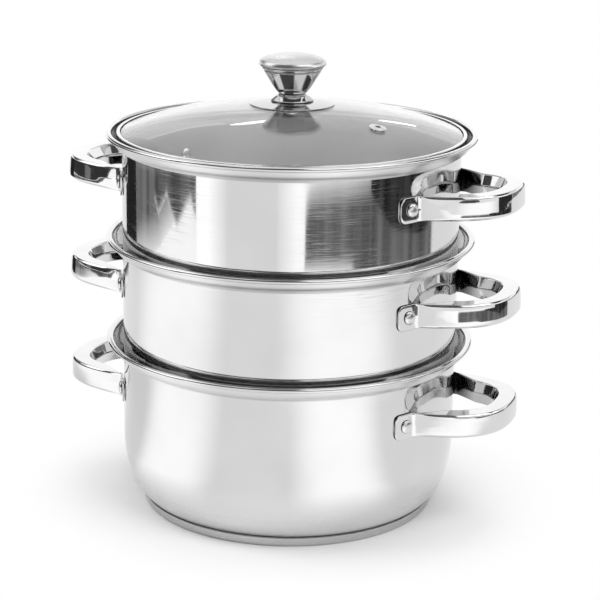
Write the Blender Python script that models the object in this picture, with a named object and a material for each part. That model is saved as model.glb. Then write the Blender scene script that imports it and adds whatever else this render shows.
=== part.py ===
"""Three-tier momo steamer: a pot with a clad base, two perforated tiers and a vented glass lid.

Lengths are in metres and +Z is up. The origin is the centre of the base, on the surface that the
pot stands on, and the two handles of every tier point along +X and -X.
"""
import math

import bmesh
import bpy
import numpy as np
from mathutils import Matrix

# Facets of the round pieces
vessel_sides = 32
knob_sides = 20
rivet_sides = 8
hole_sides = 6
corner_steps = 5
bead_steps = 5
arm_steps = 9
dome_steps = 4
smooth_angle = math.radians(35.0)
handle_smooth_angle = math.radians(28.0)

# Running gap between pieces that touch, and how far every cut runs past what it cuts
seat_gap = 0.0003
overrun = 0.002

# Vessels: one drawn sheet size and one mouth for the pot and both tiers
wall_radius = 0.1205
sheet = 0.0006
pot_rim_height = 0.122
tier_pitch = 0.075
flare_height = 0.0106
flare_bow = 0.0057
flare_bow_drop = 0.0022
rim_overhang = 0.0095
bead_half_width = 0.0023
bead_half_height = 0.0018
bead_start_angle = math.radians(-75.0)
bead_end_angle = math.radians(165.0)

# Pot bottom and its clad base
corner_run = 0.024
corner_rise = 0.046
core_thickness = 0.0028
base_inset = 0.0146
base_seam_drop = 0.0010
base_edge_round = 0.0024

# Stepped foot of a steaming tier, which sits in the flare of the rim below
seat_rise = 0.0004
shoulder_run = 0.0011
shoulder_drop = 0.0005
spigot_step = 0.0016
spigot_start = 0.0020
spigot_length = 0.0080
spigot_round = 0.0024

# Steam holes in rings about the middle of the floor
steam_hole_radius = 0.0025
steam_ring_pitch = 0.023
steam_edge_margin = 0.0225
steam_holes_in_first_ring = 5

# Loop handles, measured from the vessel's wall to their outer face
handle_length = 0.0489
handle_half_width = 0.0500
handle_squareness = 2.5
pot_handle_drop = 0.038
tier_handle_drop = 0.0348
handle_thickness = 0.0164
handle_half_height = 0.0084
handle_lean = 0.0012
handle_lower_round = 0.0024
handle_top_bevel = 0.0015
handle_ridge_run = 0.0034
handle_flare_length = 0.021
pinch_thickness = 0.0020
root_bend = 0.0026
pot_handle_lift = math.radians(1.0)
tier_handle_lift = math.radians(1.8)

# Handle ears, each held by one rivet
ear_thickness = 0.0015
ear_half_height = 0.0089
ear_corner = 0.0032
ear_length = 0.0165
rivet_inset = 0.0067
rivet_shank_radius = 0.0022
rivet_head_radius = 0.0047
rivet_head_height = 0.0020
inner_head_radius = 0.0043
inner_head_height = 0.0014

# Lid: a tempered glass dome in a folded steel band
band_clearance = 0.0035
band_top = 0.0011
band_lip = 0.0020
band_lip_thickness = 0.0005
band_edge_bevel = 0.0006
glass_thickness = 0.0040
glass_edge_drop = 0.0211
lower_lip_slack = 0.0005
knob_hole_radius = 0.0042

# Steam vent eyelet in the glass
vent_distance = 0.0776
vent_angle = math.radians(-20.0)
vent_bore_radius = 0.0020
vent_tube_radius = 0.0034
vent_flange_radius = 0.0060
vent_foot_radius = 0.0050
vent_crown = 0.0014
vent_foot_height = 0.0005
vent_seat_slack = 0.0004

# Knob, from its plate on the glass up to its cap
plate_radius = 0.0302
plate_thickness = 0.0005
plate_rise = 0.0022
foot_radius = 0.0155
foot_height = 0.0045
foot_edge = 0.0011
waist_radius = 0.0096
cone_low_radius = 0.0107
cone_low_chamfer = 0.0007
cone_high_radius = 0.0226
cone_height = 0.0191
groove_width = 0.0009
groove_depth = 0.0006
collar_height = 0.0022
cap_radius = 0.0239
cap_rise = 0.0082
cap_edge = 0.0019
thread_depth = 0.0120

# Screw, washer and gasket under the glass
screw_radius = 0.0030
screw_clearance = 0.0004
screw_head_radius = 0.0052
screw_head_height = 0.0026
washer_radius = 0.0090
washer_thickness = 0.0012
gasket_radius = 0.0100
gasket_thickness = 0.0016

# Shares of a size, where a shape turns a corner between two of its named lengths
middle_share = 0.5
head_shoulder_share = 0.7
ear_end_shares = ((0.0, 0.62), (0.25, 0.86), (1.0, 1.0))
plate_ring_share = 0.55
cap_start_share = 0.15
cap_fullness_share = 0.9

# Places that follow from the sizes above
lower_rim_height = pot_rim_height + tier_pitch
upper_rim_height = lower_rim_height + tier_pitch
bead_radius = wall_radius + rim_overhang
base_radius = wall_radius - base_inset
pot_floor_height = sheet + core_thickness + 2 * seat_gap
facet_drop = wall_radius * (1 - math.cos(math.pi / vessel_sides))
handle_reach = wall_radius + handle_length
ear_radius = wall_radius + seat_gap + ear_thickness
handle_corner_angle = math.asin(handle_half_width / ear_radius)
rivet_angle = handle_corner_angle + rivet_inset / ear_radius
ear_end_angle = handle_corner_angle + ear_length / ear_radius
band_radius = bead_radius - bead_half_width - band_clearance
screw_hole_radius = screw_radius + screw_clearance
glass_lip_radius = band_radius - sheet - band_lip
glass_edge_radius = band_radius - sheet - seat_gap
glass_curve = (glass_lip_radius ** 2 + glass_edge_drop ** 2) / (2 * glass_edge_drop)
glass_apex_height = upper_rim_height + band_top - band_lip_thickness - seat_gap + glass_edge_drop


def steel(name, shade, roughness):
    """Stainless steel as a Principled metal of one grey shade."""
    return surface(name, (shade, shade, shade * 1.01), roughness, 1.0)


def surface(name, colour, roughness, metallic, alpha=1.0):
    """A Principled material in one colour."""
    material = bpy.data.materials.new(name)
    material.use_nodes = True
    shader = material.node_tree.nodes["Principled BSDF"]
    shader.inputs["Base Color"].default_value = (*colour, 1.0)
    shader.inputs["Roughness"].default_value = roughness
    shader.inputs["Metallic"].default_value = metallic
    shader.inputs["Alpha"].default_value = alpha
    return material


def clear_scene():
    """Start from an empty scene."""
    for item in list(bpy.data.objects):
        bpy.data.objects.remove(item, do_unlink=True)


def add_object(name, mesh, material=None, parent=None):
    """Put a mesh into the scene as one named object."""
    item = bpy.data.objects.new(name, mesh)
    bpy.context.scene.collection.objects.link(item)
    item.parent = parent
    if material is not None and not mesh.materials:
        mesh.materials.append(material)
    return item


def finish_mesh(work, name, sharp_from=smooth_angle):
    """Turn a bmesh into a smooth-shaded mesh with its faces outward."""
    bmesh.ops.recalc_face_normals(work, faces=work.faces)
    mesh = bpy.data.meshes.new(name)
    work.to_mesh(mesh)
    work.free()
    mesh.shade_smooth()
    mesh.set_sharp_from_angle(angle=sharp_from)
    return mesh


def spin_profile(work, profile, sides, closed, place=None):
    """Spin (radius, height) points once round Z; an open profile is capped with flat discs."""
    points = [work.verts.new((radius, 0, height)) for radius, height in profile]
    pairs = list(zip(points, points[1:]))
    if closed:
        pairs.append((points[-1], points[0]))
    edges = [work.edges.new(pair) for pair in pairs]
    before = set(work.verts) - set(points)
    bmesh.ops.spin(work, geom=points + edges, cent=(0, 0, 0), axis=(0, 0, 1),
                   angle=2 * math.pi, steps=sides, use_merge=True)
    made = [vert for vert in work.verts if vert not in before]
    bmesh.ops.remove_doubles(work, verts=made, dist=seat_gap / 100)
    rim = [edge for edge in work.edges if edge.is_boundary]
    if rim:
        bmesh.ops.holes_fill(work, edges=rim, sides=0)
    if place is not None:
        made = [vert for vert in work.verts if vert not in before]
        bmesh.ops.transform(work, matrix=place, verts=made)


def turned_mesh(name, profile, sides, closed=True):
    """One turned body from its (radius, height) section."""
    work = bmesh.new()
    spin_profile(work, profile, sides, closed)
    return finish_mesh(work, name)


def offset_line(points, distance):
    """Move a line of points to its left by a distance, with mitred corners."""
    line = np.array(points)
    step = np.diff(line, axis=0)
    step /= np.linalg.norm(step, axis=1)[:, None]
    left = np.column_stack([-step[:, 1], step[:, 0]])
    before = np.vstack([left[:1], left])
    after = np.vstack([left, left[-1:]])
    mitre = before + after
    mitre /= np.sum(mitre * before, axis=1)[:, None]
    return [tuple(point) for point in line + distance * mitre]


def curve_point(start, pull, end, share):
    """A point on the quadratic curve from start to end that leans towards pull."""
    near = (1 - share) ** 2
    middle = 2 * share * (1 - share)
    return tuple(near * a + middle * b + share ** 2 * c for a, b, c in zip(start, pull, end))


def rim_line(rim_height):
    """The outer face of the flared rim, from the crease above the wall to under the bead."""
    crease = (wall_radius, rim_height - flare_height)
    pull = (wall_radius + flare_bow, crease[1] + flare_bow_drop)
    end = (bead_radius - bead_half_width / 2, rim_height - bead_half_height)
    return [crease, curve_point(crease, pull, end, middle_share), end]


def flare_seat_height(rim_height, radius):
    """Where a piece of this radius comes to rest on the inner face of a flared rim."""
    wall_point = (wall_radius, rim_height - 2 * flare_height)
    inner = np.array(offset_line([wall_point] + rim_line(rim_height), sheet))[1:]
    return float(np.interp(radius, inner[:, 0], inner[:, 1])) + seat_rise


def bead_line(rim_height):
    """The rolled bead: part of an oval, from under its outside over its top to its inside."""
    turns = np.linspace(bead_start_angle, bead_end_angle, bead_steps)
    return [(bead_radius + bead_half_width * math.cos(turn), rim_height + bead_half_height * math.sin(turn))
            for turn in turns]


def pot_corner_line():
    """The pot's rounded bottom: a quarter of an ellipse from its flat floor up to its wall."""
    turns = np.linspace(0, math.pi / 2, corner_steps + 1)
    low_radius = wall_radius - corner_run
    high = pot_floor_height + corner_rise
    return [(low_radius + corner_run * math.sin(turn), high - corner_rise * math.cos(turn)) for turn in turns]


def tier_foot_line(seat_rim_height):
    """The stepped foot of a tier, from its floor up to the shoulder that sits in the rim below."""
    spigot_radius = wall_radius - spigot_step
    seat_height = flare_seat_height(seat_rim_height, wall_radius)
    spigot_top = seat_height - spigot_start
    floor_height = spigot_top - spigot_length
    return [
        (spigot_radius - spigot_round, floor_height),
        (spigot_radius - spigot_round / 4, floor_height + spigot_round / 4),
        (spigot_radius, floor_height + spigot_round),
        (spigot_radius, spigot_top),
        (wall_radius - shoulder_run, seat_height - shoulder_drop),
        (wall_radius, seat_height),
    ]


def vessel_mesh(name, lower_line, rim_height):
    """A drawn sheet vessel: its outer line, the bead, and the same line one sheet further in."""
    outer = lower_line + rim_line(rim_height)
    inner = offset_line(outer, sheet)
    profile = outer + bead_line(rim_height) + inner[::-1]
    return turned_mesh(name, profile, vessel_sides, closed=False)


def add_prism(work, radius, low, high, sides, place):
    """Add an upright prism between two heights, moved to its place."""
    middle = Matrix.Translation((0, 0, (low + high) / 2))
    bmesh.ops.create_cone(work, cap_ends=True, segments=sides, radius1=radius, radius2=radius,
                          depth=high - low, matrix=place @ middle)


def steam_hole_places():
    """Centres of the steam holes: one in the middle, then rings that each hold one first ring more."""
    floor_radius = wall_radius - spigot_step - spigot_round
    ring_count = int((floor_radius - steam_edge_margin) / steam_ring_pitch)
    places = [(0.0, 0.0)]
    for ring in range(1, ring_count + 1):
        radius = ring * steam_ring_pitch
        count = ring * steam_holes_in_first_ring
        for turn in np.linspace(0, 2 * math.pi, count, endpoint=False):
            places.append((radius * math.cos(turn), radius * math.sin(turn)))
    return places


def add_cutter(name, work):
    """Keep a cutting body in the scene, as a wire that isn't rendered."""
    cutter = add_object(name, finish_mesh(work, name))
    cutter.display_type = "WIRE"
    cutter.hide_render = True
    return cutter


def steam_hole_cutter(name, floor_height):
    """One body for each steam hole, through the floor of a tier."""
    work = bmesh.new()
    low = floor_height - overrun
    high = floor_height + sheet + overrun
    for x, y in steam_hole_places():
        add_prism(work, steam_hole_radius, low, high, hole_sides, Matrix.Translation((x, y, 0)))
    return add_cutter(name, work)


def rivet_places(height, facing):
    """Frames of a handle's two rivets: on the axis at the rivet's height, with Z pointing outwards."""
    places = []
    for side in (1, -1):
        turn = facing + side * rivet_angle
        places.append(Matrix.Translation((0, 0, height)) @ Matrix.Rotation(turn, 4, "Z")
                      @ Matrix.Rotation(math.pi / 2, 4, "Y"))
    return places


def rivet_hole_cutter(name, height):
    """Four bodies, one for each rivet hole through the wall and the handle ears."""
    work = bmesh.new()
    low = wall_radius - sheet - facet_drop - overrun
    high = wall_radius + seat_gap + ear_thickness + overrun
    for facing in (0, math.pi):
        for place in rivet_places(height, facing):
            add_prism(work, rivet_shank_radius + seat_gap, low, high, rivet_sides, place)
    return add_cutter(name, work)


def cut(item, cutter):
    """Subtract a cutter from an object."""
    modifier = item.modifiers.new(cutter.name, "BOOLEAN")
    modifier.operation = "DIFFERENCE"
    modifier.solver = "EXACT"
    modifier.object = cutter


def rivet_line():
    """A rivet's section along Z from the wall's outer face: a domed head outside, a low one inside."""
    ear_face = seat_gap + ear_thickness + seat_gap
    inner_face = -sheet - facet_drop - seat_gap
    return [
        (0, ear_face + rivet_head_height),
        (rivet_head_radius * head_shoulder_share, ear_face + rivet_head_height * head_shoulder_share),
        (rivet_head_radius, ear_face),
        (rivet_shank_radius, ear_face),
        (rivet_shank_radius, inner_face),
        (inner_head_radius, inner_face),
        (inner_head_radius * head_shoulder_share, inner_face - inner_head_height * head_shoulder_share),
        (0, inner_face - inner_head_height),
    ]


def handle_half_path():
    """Stations of half a handle's outer face in plan, from the end of its ear to its middle.

    Each station is (out, side, thickness, half height). The ear follows the wall, turns out
    through a small bend, and the arm follows a superellipse round to the handle's middle.
    """
    bend_angle = handle_corner_angle + root_bend / ear_radius
    travels = [(ear_corner * share, ear_half_height * height_share) for share, height_share in ear_end_shares]
    stations = []
    for travel, half_height in travels + [(ear_length - root_bend, ear_half_height)]:
        turn = ear_end_angle - travel / ear_radius
        on_wall = (ear_radius * math.cos(turn), ear_radius * math.sin(turn))
        stations.append((*on_wall, ear_thickness, half_height))
    corner = (ear_radius * math.cos(handle_corner_angle), handle_half_width)
    start = (ear_radius * math.cos(bend_angle), ear_radius * math.sin(bend_angle))
    end = (corner[0] + root_bend, handle_half_width)
    bend = curve_point(start, corner, end, middle_share)
    bend_thickness = (ear_thickness + pinch_thickness) / 2
    stations.append((*bend, bend_thickness, (ear_half_height + handle_half_height) / 2))
    centre = corner[0] - root_bend
    length = handle_reach - centre
    first_turn = math.acos((2 * root_bend / length) ** (handle_squareness / 2))
    for turn in np.linspace(first_turn, 0, arm_steps):
        out = centre + length * math.cos(turn) ** (2 / handle_squareness)
        side = handle_half_width * math.sin(turn) ** (2 / handle_squareness)
        share = min((out - end[0]) / handle_flare_length, 1.0)
        thickness = pinch_thickness + (handle_thickness - pinch_thickness) * max(share, 0.0)
        stations.append((out, side, thickness, handle_half_height))
    return stations


def handle_section(thickness, half_height):
    """A handle's hollow-pressed outline at one station, as (depth, height) from its outer face.

    The outer face leans in towards the top, the lower edge is rounded, the upper edge is
    bevelled, and the inner side comes to a ridge at half height.
    """
    share = thickness / handle_thickness
    lean = handle_lean * share
    return [
        (0, handle_lower_round - half_height),
        (handle_lower_round * share, -half_height),
        (thickness - handle_ridge_run * share, -half_height),
        (thickness, 0),
        (thickness - handle_ridge_run * share, half_height),
        (lean + handle_top_bevel * share, half_height),
        (lean, half_height - handle_top_bevel),
    ]


def handle_mesh(name, lift):
    """Loft the sections along the path; the arm rises by the lift angle away from the wall."""
    half = handle_half_path()
    path = np.array(half + [(out, -side, thick, high) for out, side, thick, high in half[-2::-1]])
    step = np.gradient(path[:, :2], axis=0)
    step /= np.linalg.norm(step, axis=1)[:, None]
    inward = np.column_stack([step[:, 1], -step[:, 0]])
    root = wall_radius * math.cos(math.asin(handle_half_width / wall_radius)) + root_bend
    work = bmesh.new()
    rings = []
    for (out, side, thickness, half_height), (in_out, in_side) in zip(path, inward):
        raised = max(out - root, 0) * math.tan(lift)
        section = handle_section(thickness, half_height)
        rings.append([work.verts.new((out + depth * in_out, side + depth * in_side, height + raised))
                      for depth, height in section])
    for ring, after in zip(rings, rings[1:]):
        for index in range(len(ring)):
            follow = (index + 1) % len(ring)
            work.faces.new((ring[index], ring[follow], after[follow], after[index]))
    work.faces.new(rings[0])
    work.faces.new(rings[-1])
    return finish_mesh(work, name, handle_smooth_angle)


def pot_underside():
    """Radii and heights of a line one seat gap under the pot's bottom."""
    return np.array(offset_line(pot_corner_line(), -seat_gap)).T


def base_core_line():
    """The aluminium core that fills the space between the pot's bottom and the base cap."""
    low = sheet + seat_gap
    rim = base_radius - sheet - seat_gap
    under_radii, under_heights = pot_underside()
    radii = [rim, min(under_radii[1], rim - seat_gap), min(under_radii[0], rim - 2 * seat_gap)]
    top = list(zip(radii, np.interp(radii, under_radii, under_heights)))
    return [(rim - base_edge_round, low), (rim, low + base_edge_round)] + top


def base_cap_line():
    """The steel cap over the core: a shallow cup with a rounded lower edge."""
    seam_height = float(np.interp(base_radius, *pot_underside())) - base_seam_drop
    outer = [
        (base_radius - base_edge_round, 0),
        (base_radius - base_edge_round / 4, base_edge_round / 4),
        (base_radius, base_edge_round),
        (base_radius, seam_height),
    ]
    return outer + offset_line(outer, sheet)[::-1]


def glass_height(radius, depth=0.0):
    """Height of the dome at a radius, on a sphere a given depth under its outer face."""
    return glass_apex_height - glass_curve + math.sqrt((glass_curve - depth) ** 2 - radius ** 2)


def glass_line():
    """The dome's section: its outer face from the knob hole out to the edge, and back under it."""
    radii = [knob_hole_radius, vent_distance / 2, vent_distance, (vent_distance + glass_edge_radius) / 2,
             glass_edge_radius]
    upper = [(radius, glass_height(radius)) for radius in radii]
    lower = [(radius, glass_height(radius, glass_thickness)) for radius in radii]
    return upper + lower[::-1]


def band_line():
    """The steel band: a skirt that sits in the flared rim, with a lip over and one under the glass."""
    inside = band_radius - sheet
    low = flare_seat_height(upper_rim_height, band_radius)
    top = upper_rim_height + band_top
    low_lip = glass_height(glass_lip_radius, glass_thickness) - seat_gap - lower_lip_slack
    return [
        (band_radius, low),
        (band_radius, top - band_edge_bevel),
        (band_radius - band_edge_bevel, top),
        (glass_lip_radius, top),
        (glass_lip_radius, top - band_lip_thickness),
        (inside, top - band_lip_thickness - seat_gap),
        (inside, low_lip),
        (glass_lip_radius, low_lip),
        (glass_lip_radius, low_lip - sheet),
        (inside, low_lip - sheet),
        (inside, low),
    ]


def vent_place():
    """Frame of the vent: on the glass, with Z along the dome's outward normal."""
    tilt = math.asin(vent_distance / glass_curve)
    centre = (0, 0, glass_apex_height - glass_curve)
    return (Matrix.Translation(centre) @ Matrix.Rotation(vent_angle, 4, "Z")
            @ Matrix.Rotation(tilt, 4, "Y") @ Matrix.Translation((0, 0, glass_curve)))


def vent_line():
    """The eyelet's section: a crowned flange on the glass, a tube through it and a rolled foot."""
    foot = -glass_thickness - seat_gap - vent_seat_slack
    return [
        (vent_bore_radius, vent_crown),
        ((vent_bore_radius + vent_tube_radius) / 2, vent_crown + seat_gap),
        (vent_flange_radius, seat_gap * 2),
        (vent_flange_radius, seat_gap),
        (vent_tube_radius, seat_gap),
        (vent_tube_radius, foot),
        (vent_foot_radius, foot),
        (vent_foot_radius, foot - vent_foot_height),
        (vent_bore_radius, foot - vent_foot_height),
    ]


def plate_line():
    """The knob's plate: a shallow dished disc whose rim rests on the glass."""
    rim = glass_height(plate_radius) + seat_gap
    lower = []
    for share in (1, plate_ring_share):
        lower.append((plate_radius * share, rim + plate_rise * (1 - share ** 2)))
    lower.append((screw_hole_radius, rim + plate_rise))
    return lower + [(radius, height + plate_thickness) for radius, height in lower[::-1]]


def foot_line(low):
    """The knob's flared foot, which narrows from the plate up to the waist."""
    plate_slope = plate_rise * (foot_radius / plate_radius) ** 2
    edge = foot_radius - foot_edge
    top = low + foot_height
    return [
        (screw_hole_radius, low),
        (edge, low - plate_slope),
        (foot_radius, low),
        (foot_radius, low + foot_edge),
        ((foot_radius + waist_radius) / 2 - foot_edge, top - foot_edge),
        (waist_radius, top),
        (screw_hole_radius, top),
    ]


def knob_body_line(low):
    """The knob's cone, with its shadow groove, collar and blind screw hole."""
    top = low + cone_height
    collar = top - collar_height
    slope = (cone_high_radius - cone_low_radius) / (cone_height - cone_low_chamfer)
    groove_radius = cone_high_radius - slope * (collar_height + groove_width)
    return [
        (0, low + thread_depth),
        (screw_hole_radius, low + thread_depth),
        (screw_hole_radius, low),
        (cone_low_radius - cone_low_chamfer, low),
        (cone_low_radius, low + cone_low_chamfer),
        (groove_radius, collar - groove_width),
        (groove_radius - groove_depth, collar - groove_width / 2),
        (groove_radius + slope * groove_width, collar),
        (cone_high_radius, top),
        (0, top),
    ]


def knob_cap_line(low):
    """The knob's domed cap, with a rounded rim."""
    dome = cap_rise - cap_edge
    turns = np.linspace(cap_start_share, 1, dome_steps) * math.pi / 2
    line = [(0, low), (cap_radius - cap_edge / 2, low), (cap_radius, low + cap_edge / 2)]
    for turn in turns:
        radius = cap_radius * math.cos(turn) ** cap_fullness_share
        line.append((radius, low + cap_edge + dome * math.sin(turn)))
    line[-1] = (0, low + cap_rise)
    return line


def screw_line(head_low, tip):
    """The knob's screw: a round head under the washer and a shank up into the cone."""
    seat = head_low + screw_head_height
    return [
        (0, head_low),
        (screw_head_radius * head_shoulder_share, head_low),
        (screw_head_radius, head_low + screw_head_height / 2),
        (screw_head_radius, seat),
        (screw_radius, seat),
        (screw_radius, tip),
        (0, tip),
    ]


def ring_line(inner, outer, low, high):
    """The section of a flat ring."""
    return [(outer, low), (outer, high), (inner, high), (inner, low)]


def build_vessel(name, lower_line, rim_height, drop, lift, finishes, rivet_body, parent):
    """A vessel with its handles and rivets, and the holes that the rivets pass through."""
    handle_height = rim_height - drop
    shell = add_object(name + "_shell", vessel_mesh(name + "_shell", lower_line, rim_height),
                       finishes["polished"], parent)
    cutter = rivet_hole_cutter(name + "_rivet_holes", handle_height)
    cut(shell, cutter)
    loop_mesh = handle_mesh(name + "_handle", lift)
    for side, facing in (("right", 0.0), ("left", math.pi)):
        loop = add_object(f"{name}_handle_{side}", loop_mesh, finishes["handle"], parent)
        loop.location.z = handle_height
        loop.rotation_euler.z = facing
        cut(loop, cutter)
        for end, place in zip(("front", "back"), rivet_places(handle_height, facing)):
            rivet = add_object(f"{name}_rivet_{side}_{end}", rivet_body, finishes["rivet"], parent)
            rivet.matrix_local = place @ Matrix.Translation((0, 0, wall_radius))
    return shell


def build_base(finishes):
    """The clad base under the pot."""
    core = turned_mesh("base_core", base_core_line(), vessel_sides, closed=False)
    add_object("base_core", core, finishes["aluminium"])
    cap = turned_mesh("base_cap", base_cap_line(), vessel_sides, closed=False)
    add_object("base_cap", cap, finishes["brushed"])


def build_tier(name, seat_rim_height, finishes, rivet_body):
    """A steaming tier on its lift axis: stepped foot, perforated floor, wall, rim and handles."""
    axis = bpy.data.objects.new(name + "_axis", None)
    bpy.context.scene.collection.objects.link(axis)
    foot = tier_foot_line(seat_rim_height)
    floor_height = foot[0][1]
    rim_height = seat_rim_height + tier_pitch
    shell = build_vessel(name, foot, rim_height, tier_handle_drop, tier_handle_lift, finishes,
                         rivet_body, axis)
    cut(shell, steam_hole_cutter(name + "_steam_holes", floor_height))


def build_lid(finishes):
    """The vented glass lid with its steel band, knob and fixings."""
    axis = bpy.data.objects.new("lid_axis", None)
    bpy.context.scene.collection.objects.link(axis)

    dome = turned_mesh("lid_glass", glass_line(), vessel_sides)
    glass = add_object("lid_glass", dome, finishes["glass"], axis)
    work = bmesh.new()
    hole_radius = vent_tube_radius + seat_gap
    add_prism(work, hole_radius, -glass_thickness - overrun, overrun, rivet_sides, vent_place())
    cut(glass, add_cutter("vent_hole", work))
    band = turned_mesh("lid_band", band_line(), vessel_sides)
    add_object("lid_band", band, finishes["polished"], axis)

    work = bmesh.new()
    spin_profile(work, vent_line(), knob_sides // 2, closed=True, place=vent_place())
    add_object("vent_eyelet", finish_mesh(work, "vent_eyelet"), finishes["rivet"], axis)

    plate_top = glass_height(plate_radius) + seat_gap + plate_rise + plate_thickness
    foot_low = plate_top + seat_gap
    body_low = foot_low + foot_height + seat_gap
    cap_low = body_low + cone_height + seat_gap
    under = glass_height(gasket_radius, glass_thickness) - seat_gap
    gasket_low = under - gasket_thickness
    washer_top = gasket_low - seat_gap
    washer_low = washer_top - washer_thickness
    head_low = washer_low - seat_gap - screw_head_height
    tip = body_low + thread_depth - seat_gap

    turned = {
        "knob_plate": (plate_line(), "brushed"),
        "knob_foot": (foot_line(foot_low), "knob"),
        "knob_body": (knob_body_line(body_low), "knob"),
        "knob_cap": (knob_cap_line(cap_low), "brushed"),
        "knob_gasket": (ring_line(screw_hole_radius, gasket_radius, gasket_low, under), "rubber"),
        "screw_washer": (ring_line(screw_hole_radius, washer_radius, washer_low, washer_top), "rivet"),
        "knob_screw": (screw_line(head_low, tip), "rivet"),
    }
    for name, (profile, finish) in turned.items():
        add_object(name, turned_mesh(name, profile, knob_sides), finishes[finish], axis)


def main():
    """Build the whole steamer, from the base up."""
    clear_scene()
    finishes = {
        "polished": steel("polished_stainless", 0.72, 0.10),
        "brushed": steel("brushed_stainless", 0.68, 0.28),
        "handle": steel("handle_stainless", 0.76, 0.08),
        "rivet": steel("rivet_stainless", 0.74, 0.18),
        "knob": steel("knob_stainless", 0.60, 0.15),
        "aluminium": surface("core_aluminium", (0.70, 0.71, 0.72), 0.35, 1.0),
        "glass": surface("tempered_glass", (0.86, 0.88, 0.88), 0.02, 0.0, 0.35),
        "rubber": surface("gasket_rubber", (0.03, 0.03, 0.03), 0.6, 0.0),
    }
    build_base(finishes)
    rivet_body = turned_mesh("rivet", rivet_line(), rivet_sides)
    build_vessel("pot", pot_corner_line(), pot_rim_height, pot_handle_drop, pot_handle_lift, finishes,
                 rivet_body, None)
    build_tier("lower_steamer", pot_rim_height, finishes, rivet_body)
    build_tier("upper_steamer", lower_rim_height, finishes, rivet_body)
    build_lid(finishes)


main()
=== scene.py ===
"""Looks of the three-tier momo steamer: fine surfaces, finishes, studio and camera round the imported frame.

Lengths are metres in the frame of the CAD part: +Z up, the centre of the base at the origin, and the
loop handles along +X and -X.
"""
import math
from functools import partial

import bmesh
import bpy
import numpy as np
from bpy.props import FloatProperty, FloatVectorProperty, PointerProperty
from bpy.types import Operator, Panel, PropertyGroup
from mathutils import Euler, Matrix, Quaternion


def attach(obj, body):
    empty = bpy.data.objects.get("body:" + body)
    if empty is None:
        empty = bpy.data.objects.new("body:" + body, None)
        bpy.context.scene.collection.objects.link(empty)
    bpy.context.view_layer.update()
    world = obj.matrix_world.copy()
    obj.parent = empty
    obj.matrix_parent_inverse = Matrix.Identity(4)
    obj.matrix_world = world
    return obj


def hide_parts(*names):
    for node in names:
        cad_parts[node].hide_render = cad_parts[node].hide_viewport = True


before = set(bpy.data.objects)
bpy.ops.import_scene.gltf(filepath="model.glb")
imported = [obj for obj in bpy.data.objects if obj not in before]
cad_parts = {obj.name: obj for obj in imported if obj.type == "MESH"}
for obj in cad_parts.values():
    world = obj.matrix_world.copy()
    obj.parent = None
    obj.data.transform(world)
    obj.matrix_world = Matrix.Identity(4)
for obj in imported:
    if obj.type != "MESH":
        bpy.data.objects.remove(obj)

bl_info = {
    "name": "Momo steamer",
    "version": (1, 0, 0),
    "blender": (4, 5, 0),
    "location": "3D View > Sidebar > Steamer",
    "description": "Adds a three-tier momo steamer with a vented glass lid",
    "category": "Add Mesh",
}

TIERS = ("pot", "lower_steamer", "upper_steamer")
SIDES = (("right", 0.0), ("left", math.pi))
ROUND = 240
# Points that are closer than this are one, on a grid shifted so that round lengths don't lie on its edges
WELD, WELD_SHIFT = 1.0e-6, 0.137
# The most of a side that the rounding of one corner takes, and how far past it the shading points stand
SIDE_SHARE, BEYOND = 0.36, 0.3
# Roundings of a pressed corner and of a sheet's edge
ROUNDING, SHEET_ROUNDING = 0.0006, 0.0002
# Straight wall left under the flare, and flat left between the foot's rounding and the floor
WALL_END, FOOT_FLAT = 0.0010, 0.001
# Where a stepped foot rests over the sheet below, its shoulder, and the spigot's top under the seat
SEAT_RISE, SHOULDER_RUN, SHOULDER_DROP, SPIGOT_DROP = 0.0004, 0.0011, 0.0005, 0.0020
STEAM_HOLES = (5, 10, 15, 20)
# Low crease of a handle's outer face by the wall: depth, where it is full, where it ends and its fade
CREASE, CREASE_FULL, CREASE_END, CREASE_FADE = 0.0005, 0.002, 0.024, 0.010
# Handle bar's lower round, the run of the ridge on its inner side, and the bevel on top
LOWER_ROUND, RIDGE_RUN, TOP_BEVEL = 0.0024, 0.0034, 0.0008
BAR_ROUNDINGS = (0.0016, 0.0016, 0.0009, 0.0012, 0.0009, 0.0005, 0.0005)
# Edges of a rivet's two heads
HEAD_EDGE, INNER_HEAD_EDGE = 0.0003, 0.0002
# Half the width of the ring of glass that is cut for the vent, and the cells in that ring
VENT_CELL, VENT_CELLS = 0.010, 12
# Turn of the camera about Z, and what the photograph's view was fitted to, in metres, radians and pixels
CAMERA_TURN, CAMERA_AWAY, CAMERA_RISE, CAMERA_ROLL, CAMERA_AIM = -69, 1.39718, 0.256581, 0.012345, 0.180
IMAGE_PX, FOCAL_PX, CENTRE_PX = 600, 1935.33, (290.3055, 257.0082)


# Properties

def linear_colour(code):
    """An sRGB hex value as linear red, green, blue and alpha."""
    parts = np.array([int(code[i:i + 2], 16) for i in (1, 3, 5)]) / 255
    line = np.where(parts <= 0.04045, parts / 12.92, ((parts + 0.055) / 1.055) ** 2.4)
    return (*line.tolist(), 1.0)


def length(name, description, metres):
    """A length property in metres."""
    return FloatProperty(name=name, description=description, default=metres, min=0.0, max=1.0,
                         precision=5, subtype="DISTANCE", unit="LENGTH")


def angle(name, description, degrees):
    """An angle property, given in degrees and kept in radians."""
    return FloatProperty(name=name, description=description, default=math.radians(degrees),
                         subtype="ANGLE", unit="ROTATION")


def colour(name, description, code):
    """A colour property from an sRGB hex value."""
    return FloatVectorProperty(name=name, description=description, default=linear_colour(code),
                               size=4, min=0.0, max=1.0, subtype="COLOR")


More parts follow.
